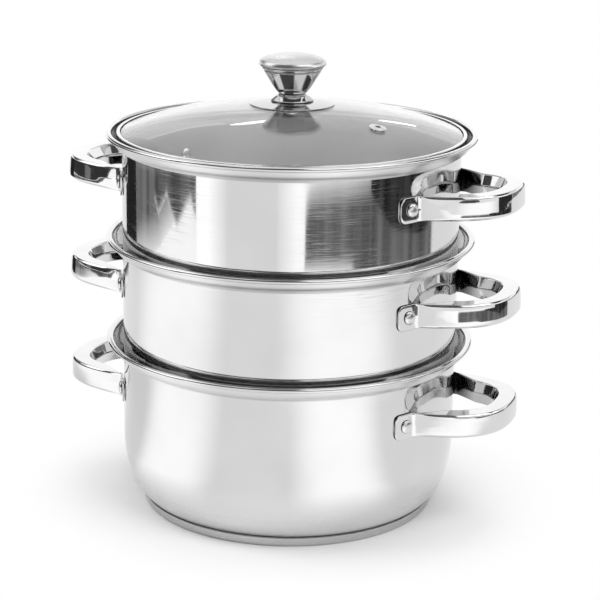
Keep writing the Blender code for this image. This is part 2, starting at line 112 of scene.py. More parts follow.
class SteamerVesselSizes(PropertyGroup):
    """Sizes of the pot and of both steaming tiers."""

    wall: length("Wall radius", "Outside radius of the wall of every vessel", 0.1205)
    sheet: length("Sheet", "Thickness of the drawn sheet", 0.0006)
    gap: length("Seat gap", "Gap between pieces that touch", 0.0003)
    pot_rim: length("Pot rim height", "Height of the pot's bead", 0.122)
    pitch: length("Tier pitch", "Height that one tier adds", 0.075)
    flare: length("Flare height", "Height of the flare under the bead", 0.0106)
    flare_bow: length("Flare bow", "How far the flare bows outwards", 0.0057)
    flare_drop: length("Flare bow height", "Height of the bow over the crease", 0.0022)
    overhang: length("Rim overhang", "Bead centre beyond the wall", 0.0095)
    bead_wide: length("Bead half width", "Half the width of the rolled bead", 0.0023)
    bead_high: length("Bead half height", "Half the height of the rolled bead", 0.0018)
    corner_run: length("Bottom corner run", "Radius lost at the pot's rounded bottom", 0.024)
    corner_rise: length("Bottom corner rise", "Height of the pot's rounded bottom", 0.046)
    pot_floor: length("Pot floor height", "Height of the pot's bottom over the ground", 0.0040)
    base_inset: length("Base inset", "Base radius short of the wall radius", 0.0146)
    base_edge: length("Base edge", "Rounding of the base's lower edge", 0.0024)
    seam_drop: length("Seam drop", "Cap edge under the pot's bottom", 0.0010)
    foot_step: length("Foot step", "Foot radius short of the wall radius", 0.0016)
    foot_high: length("Foot height", "Height of a tier's stepped foot", 0.0080)
    foot_round: length("Foot rounding", "Rounding under the foot", 0.0024)
    hole: length("Steam hole radius", "Radius of a steam hole", 0.0025)
    hole_pitch: length("Steam hole pitch", "Distance between rings of steam holes", 0.023)


class SteamerHandleSizes(PropertyGroup):
    """Sizes of the loop handles and their rivets."""

    reach: length("Handle length", "From the wall to the outer face", 0.0489)
    half_wide: length("Half width", "Half the distance between the arms' outer faces", 0.0500)
    fullness: FloatProperty(name="Squareness", description="2 is an ellipse, more is squarer", default=2.5)
    pot_drop: length("Pot handle drop", "Depth of the pot's handles under its bead", 0.038)
    tier_drop: length("Tier handle drop", "Depth of the tiers' handles under their beads", 0.0348)
    thick: length("Bar depth", "Depth of the bar from outside to inside", 0.0164)
    half_high: length("Bar half height", "Half the height of the bar", 0.0084)
    tier_tilt: length("Tier tilt", "How far a tier handle's outer face leans in at its top", 0.0011)
    pot_tilt: length("Pot tilt", "How far a pot handle's outer face leans in at its top", 0.0003)
    crown: length("Crown", "How far the outer face curves in at its edges", 0.0006)
    flare: length("Arm flare", "Length over which the arm thickens", 0.021)
    pinch: length("Root depth", "Depth of the arm where it leaves the wall", 0.0020)
    bend: length("Root bend", "Size of the bend from ear to arm", 0.0026)
    ear: length("Ear thickness", "Thickness of the ear", 0.0015)
    ear_high: length("Ear half height", "Half the height of the ear", 0.0089)
    ear_corner: length("Ear corner", "Radius of the ear's corners", 0.0046)
    ear_long: length("Ear length", "From the arm's corner to the ear's end", 0.0165)
    rivet_in: length("Rivet inset", "From the arm's corner to the rivet", 0.0067)
    pot_lift: angle("Pot handle lift", "Rise of the pot's handles", 1.0)
    tier_lift: angle("Tier handle lift", "Rise of the tiers' handles", 1.8)
    head: length("Rivet head radius", "Radius of the outer head", 0.0047)
    head_high: length("Rivet head height", "Height of the outer head", 0.0020)
    shank: length("Rivet shank radius", "Radius of the shank", 0.0022)
    inner_head: length("Inner head radius", "Radius of the inner head", 0.0043)
    inner_high: length("Inner head height", "Height of the inner head", 0.0014)


class SteamerLidSizes(PropertyGroup):
    """Sizes of the lid, its vent and its knob."""

    band_gap: length("Band clearance", "Band radius short of the bead's inside", 0.0035)
    band_top: length("Band top", "Top of the band over the bead's centre", 0.0011)
    band_lip: length("Band lip", "Width of the band's lip over the glass", 0.0020)
    lip: length("Lip thickness", "Thickness of the lip", 0.0005)
    glass: length("Glass thickness", "Thickness of the tempered glass", 0.0040)
    dome: length("Dome height", "Height of the dome over its edge", 0.0211)
    bore: length("Knob hole radius", "Hole in the glass for the knob's screw", 0.0042)
    vent_out: length("Vent distance", "From the lid's axis to the vent", 0.0776)
    vent_turn: angle("Vent angle", "Where the vent is about the axis", -20.0)
    vent_bore: length("Vent bore radius", "Radius of the vent's bore", 0.0020)
    vent_tube: length("Vent tube radius", "Radius of the vent's tube", 0.0034)
    vent_flange: length("Vent flange radius", "Radius of the vent's flange", 0.0060)
    vent_foot: length("Vent foot radius", "Radius of the rolled foot", 0.0050)
    vent_crown: length("Vent crown", "Height of the vent over the glass", 0.0014)
    plate: length("Plate radius", "Radius of the plate under the knob", 0.0302)
    plate_thick: length("Plate thickness", "Thickness of the plate", 0.0005)
    plate_rise: length("Plate rise", "Height of the plate's dish", 0.0022)
    foot: length("Foot radius", "Radius of the knob's flared foot", 0.0155)
    foot_high: length("Foot height", "Height of the foot", 0.0045)
    foot_edge: length("Foot edge", "Height of the foot's edge", 0.0005)
    waist: length("Waist radius", "Radius of the knob's waist", 0.0096)
    cone_low: length("Cone bottom radius", "Radius of the cone at its bottom", 0.0107)
    cone_high: length("Cone top radius", "Radius of the cone at its top", 0.0226)
    cone: length("Cone height", "Height of the cone", 0.0191)
    groove: length("Groove width", "Width of the shadow groove", 0.0009)
    collar: length("Collar height", "Height of the collar over the groove", 0.0022)
    cap: length("Cap radius", "Radius of the knob's cap", 0.0239)
    cap_rise: length("Cap rise", "Height of the cap", 0.0082)
    cap_edge: length("Cap edge", "Height of the cap's rounded edge", 0.0019)
    screw: length("Screw radius", "Radius of the screw", 0.0030)
    screw_slack: length("Screw clearance", "Clearance round the screw", 0.0004)
    screw_head: length("Screw head radius", "Radius of the screw's head", 0.0052)
    screw_head_high: length("Screw head height", "Height of the screw's head", 0.0026)
    thread: length("Thread depth", "How far the screw goes into the knob", 0.0120)
    washer: length("Washer radius", "Radius of the washer", 0.0090)
    washer_thick: length("Washer thickness", "Thickness of the washer", 0.0012)
    gasket: length("Gasket radius", "Radius of the gasket", 0.0100)
    gasket_thick: length("Gasket thickness", "Thickness of the gasket", 0.0016)


class SteamerFinish(PropertyGroup):
    """Colours of the materials."""

    wall_steel: colour("Vessel steel", "Polished wall of the pot and tiers", "#DDDDDD")
    base_steel: colour("Base steel", "Satin cap under the pot", "#C4C4C5")
    handle_steel: colour("Handle steel", "Mirror-polished handles", "#E0E0E0")
    band_steel: colour("Band steel", "Folded band round the glass, and the knob's foot", "#DEDEDE")
    rivet_steel: colour("Rivet steel", "Rivets, vent, washer and screw", "#E2E2E3")
    knob_steel: colour("Knob steel", "Mirror-polished cone and plate of the knob", "#C6C5C6")
    satin_steel: colour("Satin steel", "Satin cap of the knob", "#DADADB")
    aluminium: colour("Aluminium", "Pressed aluminium in the base", "#C9CACC")
    glass: colour("Glass", "Tempered glass of the lid", "#FBFBFB")
    rubber: colour("Silicone", "Gasket under the glass", "#1A1A1B")
    floor: colour("Floor", "Pale studio floor", "#F8F8F8")


# Shapes

def ways(bearing):
    """Plan points (cos b, sin b) for bearings in radians."""
    return np.stack([np.cos(bearing), np.sin(bearing)], axis=-1)


def circle(count=ROUND):
    """Plan points once round the unit circle, the first one again at the end."""
    return ways(np.linspace(0, 2 * np.pi, count + 1))


def arc(centre, wide, high, start, stop, steps):
    """Part of an ellipse, centre + (wide cos t, high sin t), with t from start to stop in degrees."""
    return np.asarray(centre) + [wide, high] * ways(np.radians(np.linspace(start, stop, steps)))


def soften(points, cut, steps=6, closed=False):
    """Swap each corner of a line for a short curve, on any number of lines at once.

    The curve runs from a cut before the corner to a cut after it: (1-s)² before + 2s(1-s) corner +
    s² after. One more point beyond each end of the curve keeps the shading of the flats straight.
    """
    line = np.asarray(points, float)
    if closed:
        line = np.concatenate([line[..., -1:, :], line, line[..., :1, :]], axis=-2)
    step = np.diff(line, axis=-2)
    size = np.linalg.norm(step, axis=-1, keepdims=True)
    unit = step / np.maximum(size, 1e-9)
    cuts = np.minimum(np.asarray(cut, float).reshape(-1, 1) if np.ndim(cut) else cut,
                      SIDE_SHARE * np.minimum(size[..., :-1, :], size[..., 1:, :]))[..., None, :]
    s = np.concatenate([[-BEYOND], np.linspace(0, 1, steps), [1 + BEYOND]])[:, None]
    t = np.clip(s, 0, 1)
    back = unit[..., :-1, None, :] * cuts
    ahead = unit[..., 1:, None, :] * cuts
    curve = line[..., 1:-1, None, :] - (1 - t) ** 2 * back + t ** 2 * ahead
    curve = curve + np.minimum(s, 0) * back + np.maximum(s - 1, 0) * ahead
    curve = curve.reshape(*curve.shape[:-3], -1, curve.shape[-1])
    if closed:
        return np.concatenate([curve, curve[..., :1, :]], axis=-2)
    return np.concatenate([line[..., :1, :], curve, line[..., -1:, :]], axis=-2)


def offset(points, distance):
    """The same line moved to its left by a distance, with each point pushed along its mitre."""
    line = np.asarray(points, float)
    step = np.diff(line, axis=0)
    step /= np.linalg.norm(step, axis=1)[:, None]
    left = np.column_stack([-step[:, 1], step[:, 0]])
    before, after = np.vstack([left[:1], left]), np.vstack([left, left[-1:]])
    mitre = before + after
    return line + distance * mitre / np.sum(mitre * before, axis=1)[:, None]


def lift(plan, height):
    """Plan points (x, y) raised to a height, which may be a number or an array."""
    return np.concatenate([plan, np.broadcast_to(height, plan.shape[:-1])[..., None]], axis=-1)


def turn(line, count=ROUND):
    """A (radius, height) line carried once round Z: (r(v) cos u, r(v) sin u, z(v))."""
    radius, height = np.asarray(line, float).T
    return lift(radius[:, None] * circle(count)[:, None], height)


def place(points, origin, turn_z, tilt_y):
    """Points tipped about Y by a tilt, turned about Z and moved to an origin."""
    x, y, z = np.moveaxis(points, -1, 0)
    x, z = x * math.cos(tilt_y) + z * math.sin(tilt_y), z * math.cos(tilt_y) - x * math.sin(tilt_y)
    x, y = x * math.cos(turn_z) - y * math.sin(turn_z), x * math.sin(turn_z) + y * math.cos(turn_z)
    return np.stack([x, y, z], axis=-1) + np.asarray(origin)


def pierced_cells(count, near, far, hole_at, hole, around, across, rows):
    """Plan of a ring cut into equal cells with a round hole in each, and the holes' edges.

    A cell is bounded by the near and far arcs and two radial sides. Its points are
    (1-s) circle(t) + s border(t), where t runs round the hole and s from the hole to the border.
    """
    half = np.pi / count
    swing = np.linspace(-half, half, around + 1)
    span = np.linspace(near, far, across + 1)
    radius = np.concatenate([np.full(around, near), span[:-1], np.full(around, far), span[:0:-1]])
    bearing = np.concatenate([swing[:-1], np.full(across, half), swing[:0:-1], np.full(across, -half)])
    border = radius[:, None] * ways(bearing)
    centre = np.array([hole_at, 0.0])
    way = border - centre
    edge = centre + hole * way / np.linalg.norm(way, axis=1)[:, None]
    s = np.linspace(0, 1, rows + 1)[:, None, None] ** 1.5
    cell = (1 - s) * edge + s * border
    cell = np.concatenate([cell, cell[:, :1]], axis=1)
    spin = 2 * np.pi * np.arange(count)[:, None, None] / count
    x, y = cell[..., 0], cell[..., 1]
    return np.stack([x * np.cos(spin) - y * np.sin(spin), x * np.sin(spin) + y * np.cos(spin)], axis=-1)


def shape_mesh(name, patches, sharp=40.0):
    """One mesh from patches of points, each one grid or a stack of grids, with equal points welded.

    A grid's face joins point (i, j) to (i, j+1), (i+1, j+1) and (i+1, j). At a pole the welded
    points leave triangles, and the normals are made to point outwards at the end.
    """
    points = np.concatenate([patch.reshape(-1, 3) for patch in patches])
    quads, start = [], 0
    for patch in patches:
        index = start + np.arange(patch[..., 0].size).reshape(patch.shape[:-1])
        quads.append(grid_faces(index))
        start += index.size
    key = np.rint(points / WELD + WELD_SHIFT).astype(np.int64)
    _, first, same = np.unique(key, axis=0, return_index=True, return_inverse=True)
    quads = same.reshape(-1)[np.concatenate(quads)]
    equal = quads == np.roll(quads, -1, axis=1)
    whole = quads[~equal.any(axis=1)].tolist()
    pinched = [quads[equal[:, k] & (equal.sum(axis=1) == 1)][:, [j for j in range(4) if j != k]]
               for k in range(4)]
    mesh = bpy.data.meshes.new(name)
    mesh.from_pydata(points[first].tolist(), [], whole + np.concatenate(pinched).tolist())
    work = bmesh.new()
    work.from_mesh(mesh)
    bmesh.ops.recalc_face_normals(work, faces=work.faces)
    work.to_mesh(mesh)
    work.free()
    mesh.shade_smooth()
    mesh.set_sharp_from_angle(angle=math.radians(sharp))
    mesh.validate()
    return mesh


def grid_faces(index):
    """The four point numbers of every face of a grid, or of a stack of grids."""
    corners = (index[..., :-1, :-1], index[..., :-1, 1:], index[..., 1:, 1:], index[..., 1:, :-1])
    return np.stack(corners, axis=-1).reshape(-1, 4)


def add_piece(name, patches, material, body, slot, *nodes, sharp=40.0):
    """Add a finished piece that rides on a body and stands for CAD nodes."""
    piece = bpy.data.objects.new(name, shape_mesh(name, patches, sharp))
    bpy.context.scene.collection.objects.link(piece)
    piece.data.materials.append(finish(material))
    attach(piece, body)
    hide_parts(*nodes)


# Outlines of the vessels

def flare_line(rim, sizes, steps=14):
    """Outer face of the flared rim: (1-s)² crease + 2s(1-s) pull + s² end under the bead."""
    crease = np.array([sizes.wall, rim - sizes.flare])
    pull = crease + [sizes.flare_bow, sizes.flare_drop]
    end = np.array([sizes.wall + sizes.overhang - sizes.bead_wide / 2, rim - sizes.bead_high])
    s = np.linspace(0, 1, steps)[:, None]
    return (1 - s) ** 2 * crease + 2 * s * (1 - s) * pull + s ** 2 * end


def flare_seat(rim, radius, sizes):
    """Height at which a piece of this radius rests in a flared rim, a little over the sheet."""
    inner = offset(flare_line(rim, sizes), sizes.sheet)
    return float(np.interp(radius, inner[:, 0], inner[:, 1])) + SEAT_RISE


def pot_corner(sizes, steps=28):
    """The pot's rounded bottom, a quarter of an ellipse up to the wall."""
    centre = (sizes.wall - sizes.corner_run, sizes.pot_floor + sizes.corner_rise)
    return arc(centre, sizes.corner_run, sizes.corner_rise, -90, 0, steps)


def foot_line(seat, sizes, steps=8):
    """A tier's stepped foot: flat edge, quarter round, spigot, shoulder in the rim below, then wall."""
    spigot = sizes.wall - sizes.foot_step
    top = seat - SPIGOT_DROP
    low = top - sizes.foot_high
    flat, side = spigot - sizes.foot_round, 0.0030
    under = arc((flat, low + sizes.foot_round), sizes.foot_round, sizes.foot_round, -90, 0, steps)
    shoulder = soften([(spigot, top - side), (spigot, top), (sizes.wall - SHOULDER_RUN, seat - SHOULDER_DROP),
                       (sizes.wall, seat), (sizes.wall, seat + side)], ROUNDING)
    return np.vstack([[(flat - FOOT_FLAT, low)], under, shoulder])


def vessel_lines(lower, rim, sizes, steps=26):
    """Outer line of a vessel with its rolled bead, and the inner line one sheet further in.

    The bead runs from under its outside over its top to its inside.
    """
    outer = np.vstack([lower, [(sizes.wall, rim - sizes.flare - WALL_END)], flare_line(rim, sizes)])
    bead = arc((sizes.wall + sizes.overhang, rim), sizes.bead_wide, sizes.bead_high, -75, 165, steps)
    return np.vstack([outer, bead]), offset(outer, sizes.sheet)[::-1]


def floor_patches(low, sizes):
    """Both faces of a perforated floor with the walls of its steam holes, out to the foot's flat edge."""
    edge = sizes.wall - sizes.foot_step - sizes.foot_round - FOOT_FLAT
    pitch, high = sizes.hole_pitch, low + sizes.sheet
    plans = [np.linspace(sizes.hole, pitch / 2, 5)[:, None, None] * circle()]
    for k, count in enumerate(STEAM_HOLES, start=1):
        plans.append(pierced_cells(count, (k - 0.5) * pitch, (k + 0.5) * pitch, k * pitch, sizes.hole,
                                   ROUND // count, 6, 4))
    holes = [plans[0][:1]] + [plan[:, :1] for plan in plans[1:]]
    last = (len(STEAM_HOLES) + 0.5) * pitch
    plans.append(np.linspace(last, edge, 4)[:, None, None] * circle())
    faces = [lift(plan, height) for plan in plans for height in (low, high)]
    walls = [np.concatenate([lift(hole, low), lift(hole, high)], axis=-3) for hole in holes]
    return faces + walls


def vessel_rims(sizes):
    """Each vessel's level, name and rim height, from the pot up."""
    return [(level, name, sizes.pot_rim + level * sizes.pitch) for level, name in enumerate(TIERS)]


# Outlines of the handles

def handle_path(vessel, sizes):
    """Half of a handle's outer face in plan, with the bar's depth and half height at each station.

    The ear is an arc of the wall's circle, the bend a quadratic curve, and the arm the superellipse
    (centre + a |cos t|^(2/n), b |sin t|^(2/n)) from its corner to the middle of the loop. With s the
    share of the flare, the arm's depth is pinch + (thick - pinch) (1.25 s - 0.25 s²).
    """
    ear_r = vessel.wall + vessel.gap + sizes.ear
    corner_turn = math.asin(sizes.half_wide / ear_r)
    end_turn = corner_turn + sizes.ear_long / ear_r
    flat = (end_turn - (corner_turn + sizes.bend / ear_r)) * ear_r
    # Stations from the ear's end, closest where its corners are round
    run = np.concatenate([[0.0, 0.00025], np.linspace(0.0009, sizes.ear_corner, 7),
                          [sizes.ear_corner + 0.001, flat - 0.0006, flat]])
    t = end_turn - run / ear_r
    left = np.clip(1 - run / sizes.ear_corner, 0, 1)
    ear_high = sizes.ear_high - sizes.ear_corner * (1 - np.sqrt(1 - left ** 2))
    ear = np.column_stack([ear_r * ways(t), np.full(t.size, sizes.ear), ear_high])
    corner = np.array([ear_r * math.cos(corner_turn), sizes.half_wide])
    end = corner + [sizes.bend, 0]
    s = np.linspace(0, 1, 9)[1:-1, None]
    plan = (1 - s) ** 2 * ear[-1, :2] + 2 * s * (1 - s) * corner + s ** 2 * end
    bend = np.hstack([plan, sizes.ear + s * (sizes.pinch - sizes.ear),
                      sizes.ear_high + s * (sizes.half_high - sizes.ear_high)])
    middle = corner[0] - sizes.bend
    reach = vessel.wall + sizes.reach - middle
    first = math.acos((2 * sizes.bend / reach) ** (sizes.fullness / 2))
    t = first * (1 - np.linspace(0, 1, 46) ** 1.25)
    out = middle + reach * np.cos(t) ** (2 / sizes.fullness)
    side = sizes.half_wide * np.sin(t) ** (2 / sizes.fullness)
    share = np.clip((out - end[0]) / sizes.flare, 0, 1)
    depth = sizes.pinch + (sizes.thick - sizes.pinch) * share * (1.25 - 0.25 * share)
    return np.vstack([ear, bend, np.column_stack([out, side, depth, np.full(t.size, sizes.half_high)])])


def handle_rings(vessel, sizes, lift_angle, tilt, height):
    """Rings of points round the bar at every station, before the handle is turned to its side.

    Across the bar, with t the height as a share of the half height, the outer face is set in by
    tilt (1 + t)/2 + crown t⁴. The lower edge is round, the upper edge bevelled and the inner side a
    ridge. Near the wall the outer face has a low crease at mid-height.
    """
    half = handle_path(vessel, sizes)
    path = np.vstack([half, half[-2::-1] * [1, -1, 1, 1]])
    step = np.gradient(path[:, :2], axis=0)
    step /= np.linalg.norm(step, axis=1)[:, None]
    inward = np.column_stack([step[:, 1], -step[:, 0]])[:, None]
    out = path[:, :1] - math.sqrt(vessel.wall ** 2 - sizes.half_wide ** 2)
    depth, high = path[:, 2:3], path[:, 3:]
    share = depth / sizes.thick
    crease = CREASE * np.clip(out / CREASE_FULL, 0, 1) * np.clip((CREASE_END - out) / CREASE_FADE, 0, 1)
    # Rows of the outer face: eleven down its flat, then one on its lower and one on its upper edge
    t = np.concatenate([np.linspace(0.58, -0.48, 11), [-0.76, 0.845]])
    inset = (tilt * (1 + t) / 2 + sizes.crown * t ** 4) * share - crease * (1 - np.abs(t))
    face = np.stack([inset, t * high], axis=-1)
    ridge = depth - RIDGE_RUN * share
    edge = np.stack([np.hstack(pair) for pair in (
        (LOWER_ROUND * share, -high), (ridge, -high), (depth, 0 * depth), (ridge, high),
        ((tilt + sizes.crown + TOP_BEVEL) * share, high))], axis=1)
    line = np.concatenate([face[:, 10:12], edge, face[:, 12:13], face[:, 0:1]], axis=1)
    ring = np.concatenate([face[:, :11], soften(line, np.array(BAR_ROUNDINGS), 5)[:, 1:]], axis=1)
    rise = height + np.maximum(out, 0) * math.tan(lift_angle)
    return lift(path[:, None, :2] + ring[..., :1] * inward, rise + ring[..., 1])


def capped(rings):
    """Rings joined into one skin, closed at both ends by their middle points."""
    ends = [np.broadcast_to(end.mean(axis=1, keepdims=True), end.shape) for end in (rings[:1], rings[-1:])]
    return np.concatenate([ends[0], rings, ends[1]])


def rivet_line(vessel, sizes, steps=12):
    """A rivet's section from the wall's outer face: a domed head outside, the shank, a low head inside."""
    face, back = vessel.gap + sizes.ear + vessel.gap, -vessel.sheet - vessel.gap
    dome = arc((0, face + HEAD_EDGE), sizes.head, sizes.head_high - HEAD_EDGE, 90, 0, steps)
    inner = arc((0, back - INNER_HEAD_EDGE), sizes.inner_head, sizes.inner_high - INNER_HEAD_EDGE, 0, -90,
                steps)
    return np.vstack([dome, [(sizes.head, face), (sizes.shank, face), (sizes.shank, back),
                             (sizes.inner_head, back)], inner])


# Outlines of the lid

class LidPlan:
    """Heights and radii that the lid's pieces share, worked out once from the sizes."""

    def __init__(self, vessel, lid):
        gap = vessel.gap
        self.rim = vessel.pot_rim + 2 * vessel.pitch
        self.band = vessel.wall + vessel.overhang - vessel.bead_wide - lid.band_gap
        self.low = flare_seat(self.rim, self.band, vessel)
        self.top = self.rim + lid.band_top
        self.mouth = self.band - vessel.sheet - lid.band_lip
        self.edge = self.band - vessel.sheet - gap
        self.curve = (self.mouth ** 2 + lid.dome ** 2) / (2 * lid.dome)
        self.apex = self.top - lid.lip - gap + lid.dome
        self.centre = np.array([0, 0, self.apex - self.curve])
        self.screw_hole = lid.screw + lid.screw_slack
        self.plate_rim = self.height(lid.plate) + gap
        self.foot_low = self.plate_rim + lid.plate_rise + lid.plate_thick + gap
        self.body_low = self.foot_low + lid.foot_high + gap
        self.cap_low = self.body_low + lid.cone + gap
        self.gasket_top = self.height(lid.gasket, lid.glass) - gap
        self.gasket_low = self.gasket_top - lid.gasket_thick
        self.washer_top = self.gasket_low - gap
        self.washer_low = self.washer_top - lid.washer_thick
        self.head_top = self.washer_low - gap
        self.head_low = self.head_top - lid.screw_head_high
        self.tip = self.body_low + lid.thread - gap

    def height(self, radius, depth=0.0):
        """Height of the dome: apex - R + sqrt((R - depth)² - r²)."""
        return self.apex - self.curve + np.sqrt((self.curve - depth) ** 2 - np.asarray(radius) ** 2)

    def sheet(self, plan, depth=0.0):
        """Plan points set on the dome, then moved a depth along its radius towards its centre."""
        points = lift(plan, self.height(np.hypot(plan[..., 0], plan[..., 1])))
        return self.centre + (points - self.centre) * (1 - depth / self.curve)


def glass_patches(vessel, lid, plan):
    """Both faces of the dome, its rounded edge, and the holes for the knob and the vent."""
    near, far, edge = lid.vent_out - VENT_CELL, lid.vent_out + VENT_CELL, plan.edge - ROUNDING
    ring, half = circle(), ROUND // VENT_CELLS // 2
    inner = np.linspace(lid.bore, near, 30)[:, None, None] * ring
    outer = np.linspace(far, edge, 14)[:, None, None] * ring
    cell = pierced_cells(VENT_CELLS, near, far, lid.vent_out, lid.vent_tube + vessel.gap, 2 * half, 8, 5)[0]
    rest = np.linspace(near, far, 9)[:, None, None] * ring[half:ROUND - half + 1]
    faces = [plan.sheet(flat, depth) for flat in (inner, outer, cell, rest) for depth in (0.0, lid.glass)]
    t = np.linspace(0, np.pi, 9)[:, None, None]
    rim = plan.sheet((edge + ROUNDING * np.sin(t)) * ring, lid.glass * (1 - np.cos(t)) / 2)
    walls = [np.stack([plan.sheet(hole), plan.sheet(hole, lid.glass)]) for hole in (inner[0], cell[0])]
    return [place(patch, (0, 0, 0), lid.vent_turn, 0.0) for patch in faces + [rim] + walls]


def band_line(vessel, lid, plan):
    """The folded band: skirt in the flared rim, lip over the glass and lip under it."""
    inside, slack = plan.band - vessel.sheet, 0.0005
    lip = plan.top - lid.lip
    low_lip = float(plan.height(plan.mouth, lid.glass)) - vessel.gap - slack
    line = [(plan.band, plan.low), (plan.band, plan.top), (plan.mouth, plan.top), (plan.mouth, lip),
            (inside, lip - vessel.gap), (inside, low_lip), (plan.mouth, low_lip),
            (plan.mouth, low_lip - vessel.sheet), (inside, low_lip - vessel.sheet), (inside, plan.low)]
    return soften(line, 0.0007, closed=True)


def vent_line(vessel, lid):
    """The eyelet in its own frame: a crowned flange on the glass, a tube through it, a rolled foot."""
    slack, foot_high, bevel, fall, slope, edge = 0.0004, 0.0005, 0.0004, 0.0006, 0.0009, 0.0006
    foot = -lid.glass - vessel.gap - slack
    line = [(lid.vent_bore, lid.vent_crown - fall), (lid.vent_bore + bevel, lid.vent_crown),
            (lid.vent_tube, lid.vent_crown), (lid.vent_flange - slope, slope), (lid.vent_flange, edge),
            (lid.vent_flange, vessel.gap), (lid.vent_tube, vessel.gap), (lid.vent_tube, foot),
            (lid.vent_foot, foot), (lid.vent_foot, foot - foot_high), (lid.vent_bore, foot - foot_high)]
    return soften(line, 0.0005, closed=True)


def washer_line(bore, radius, low, high, cut):
    """Section of a flat ring with softened edges."""
    return soften([(bore, low), (radius, low), (radius, high), (bore, high)], cut, closed=True)


def screw_line(lid, plan):
    """A pan-head screw from the middle of its head up to its tip in the knob."""
    return soften([(0, plan.head_low), (lid.screw_head * 0.7, plan.head_low),
                   (lid.screw_head, plan.head_low + lid.screw_head_high / 2), (lid.screw_head, plan.head_top),
                   (lid.screw, plan.head_top), (lid.screw, plan.tip), (0, plan.tip)], 0.0005)


def plate_line(lid, plan):
    """The knob's plate: rim + rise (1 - (r/R)²), one sheet thick, with a rounded rim."""
    r = np.linspace(lid.plate, plan.screw_hole, 30)
    low = np.column_stack([r, plan.plate_rim + lid.plate_rise * (1 - (r / lid.plate) ** 2)])
    return soften(np.vstack([low, (low + [0, lid.plate_thick])[::-1]]), SHEET_ROUNDING, 4, closed=True)


def knob_foot_line(lid, plan):
    """The flared foot, narrowing from the plate up to a thin lip at the waist."""
    low, top = plan.foot_low, plan.foot_low + lid.foot_high
    slope = lid.plate_rise * (lid.foot / lid.plate) ** 2
    lip_out, lip_in, lip_low, lip_high = 0.0020, 0.0012, 0.0012, 0.0010
    line = [(plan.screw_hole, low), (lid.foot - lid.foot_edge, low - slope), (lid.foot, low),
            (lid.foot, low + lid.foot_edge), (lid.waist + lip_out, top - lip_low),
            (lid.waist + lip_in, top - lip_high), (lid.waist, top), (plan.screw_hole, top)]
    return soften(line, ROUNDING, closed=True)


def knob_body_line(lid, plan):
    """The cone: chamfer, flank, shadow groove, collar and top, with the screw's blind hole."""
    low, top = plan.body_low, plan.body_low + lid.cone
    collar, chamfer, flank, groove_deep = top - lid.collar, 0.0007, 0.0034, 0.0006
    slope = (lid.cone_high - lid.cone_low) / lid.cone
    groove = lid.cone_high - slope * (lid.collar + lid.groove)
    line = [(0, low + lid.thread), (plan.screw_hole, low + lid.thread), (plan.screw_hole, low),
            (lid.cone_low - chamfer, low), (lid.cone_low, low + chamfer),
            (lid.cone_low + slope * flank, low + flank), (groove, collar - lid.groove),
            (groove - groove_deep, collar - lid.groove / 2), (groove + slope * lid.groove, collar),
            (lid.cone_high, top), (0, top)]
    return soften(line, np.array([0.0004, 0.0004, 0.0004, 0.0006, 0.0012, 0.0003, 0.0002, 0.0003, 0.0006]))


def knob_cap_line(lid, plan):
    """The domed cap: (R cos^0.9 t, low + edge + dome sin t) over a rounded rim."""
    t = np.linspace(0.15, 1, 28) * np.pi / 2
    low, half = plan.cap_low, lid.cap_edge / 2
    dome = np.column_stack([lid.cap * np.cos(t) ** 0.9,
                            low + lid.cap_edge + (lid.cap_rise - lid.cap_edge) * np.sin(t)])
    dome[-1] = (0, low + lid.cap_rise)
    rim = soften([(0, low), (lid.cap - half, low), (lid.cap, low + half), dome[0]], ROUNDING)[:-1]
    return np.vstack([rim, dome])


# Materials

def wire(node, inputs):
    """Set a node's inputs, each to a value or to a link from a socket or a node's first output."""
    for name, value in inputs.items():
        source = value.outputs[0] if isinstance(value, bpy.types.Node) else value
        if isinstance(source, bpy.types.NodeSocket):
            node.id_data.links.new(source, node.inputs[name])
        else:
            node.inputs[name].default_value = source
    return node


def add_node(tree, kind, inputs=None, **settings):
    """Add a shader node with its settings, and wire its inputs."""
    node = tree.nodes.new("ShaderNode" + kind)
    for name, value in settings.items():
        setattr(node, name, value)
    return wire(node, inputs or {})


def new_material(name):
    """An empty material, what adds a node to it, its Principled shader and its output."""
    material = bpy.data.materials.new(name)
    material.use_nodes = True
    tree = material.node_tree
    return material, partial(add_node, tree), tree.nodes["Principled BSDF"], tree.nodes["Material Output"]


def polish(add, shader, tone, rough, cloud, faint, groove_mm, bumps):
    """Finish a steel's shader: roughness, bumps, and its tone under a faint cloud.

    Within the reach of grooves, gaps and hollows its colour is darker too: painted shade from ambient
    occlusion, standing in for the shade that falls there.
    """
    shade = add("MapRange", {"Value": cloud, "From Min": 0.3, "From Max": 0.7, "To Min": faint, "To Max": 1.0})
    # Painted shade: the colour darkens where ambient occlusion finds other surfaces close by
    if groove_mm:
        open_share = add("AmbientOcclusion", {"Distance": groove_mm / 1000}, samples=6).outputs["AO"]
        groove = add("MapRange", {"Value": open_share, "From Min": 0.25, "From Max": 0.68,
                                  "To Min": 0.12, "To Max": 1.0})
        shade = add("Math", {0: shade, 1: groove}, operation="MULTIPLY")
    tint = add("Mix", {"Factor": 1.0, "A": tuple(tone), "B": shade}, data_type="RGBA", blend_type="MULTIPLY")
    below = {}
    for height, depth_mm in bumps:
        bump = add("Bump", {"Strength": 1.0, "Distance": depth_mm / 1000, "Height": height, **below})
        below = {"Normal": bump}
    wire(shader, {"Metallic": 1.0, "Roughness": rough, "Base Color": tint.outputs["Result"], "Normal": bump})


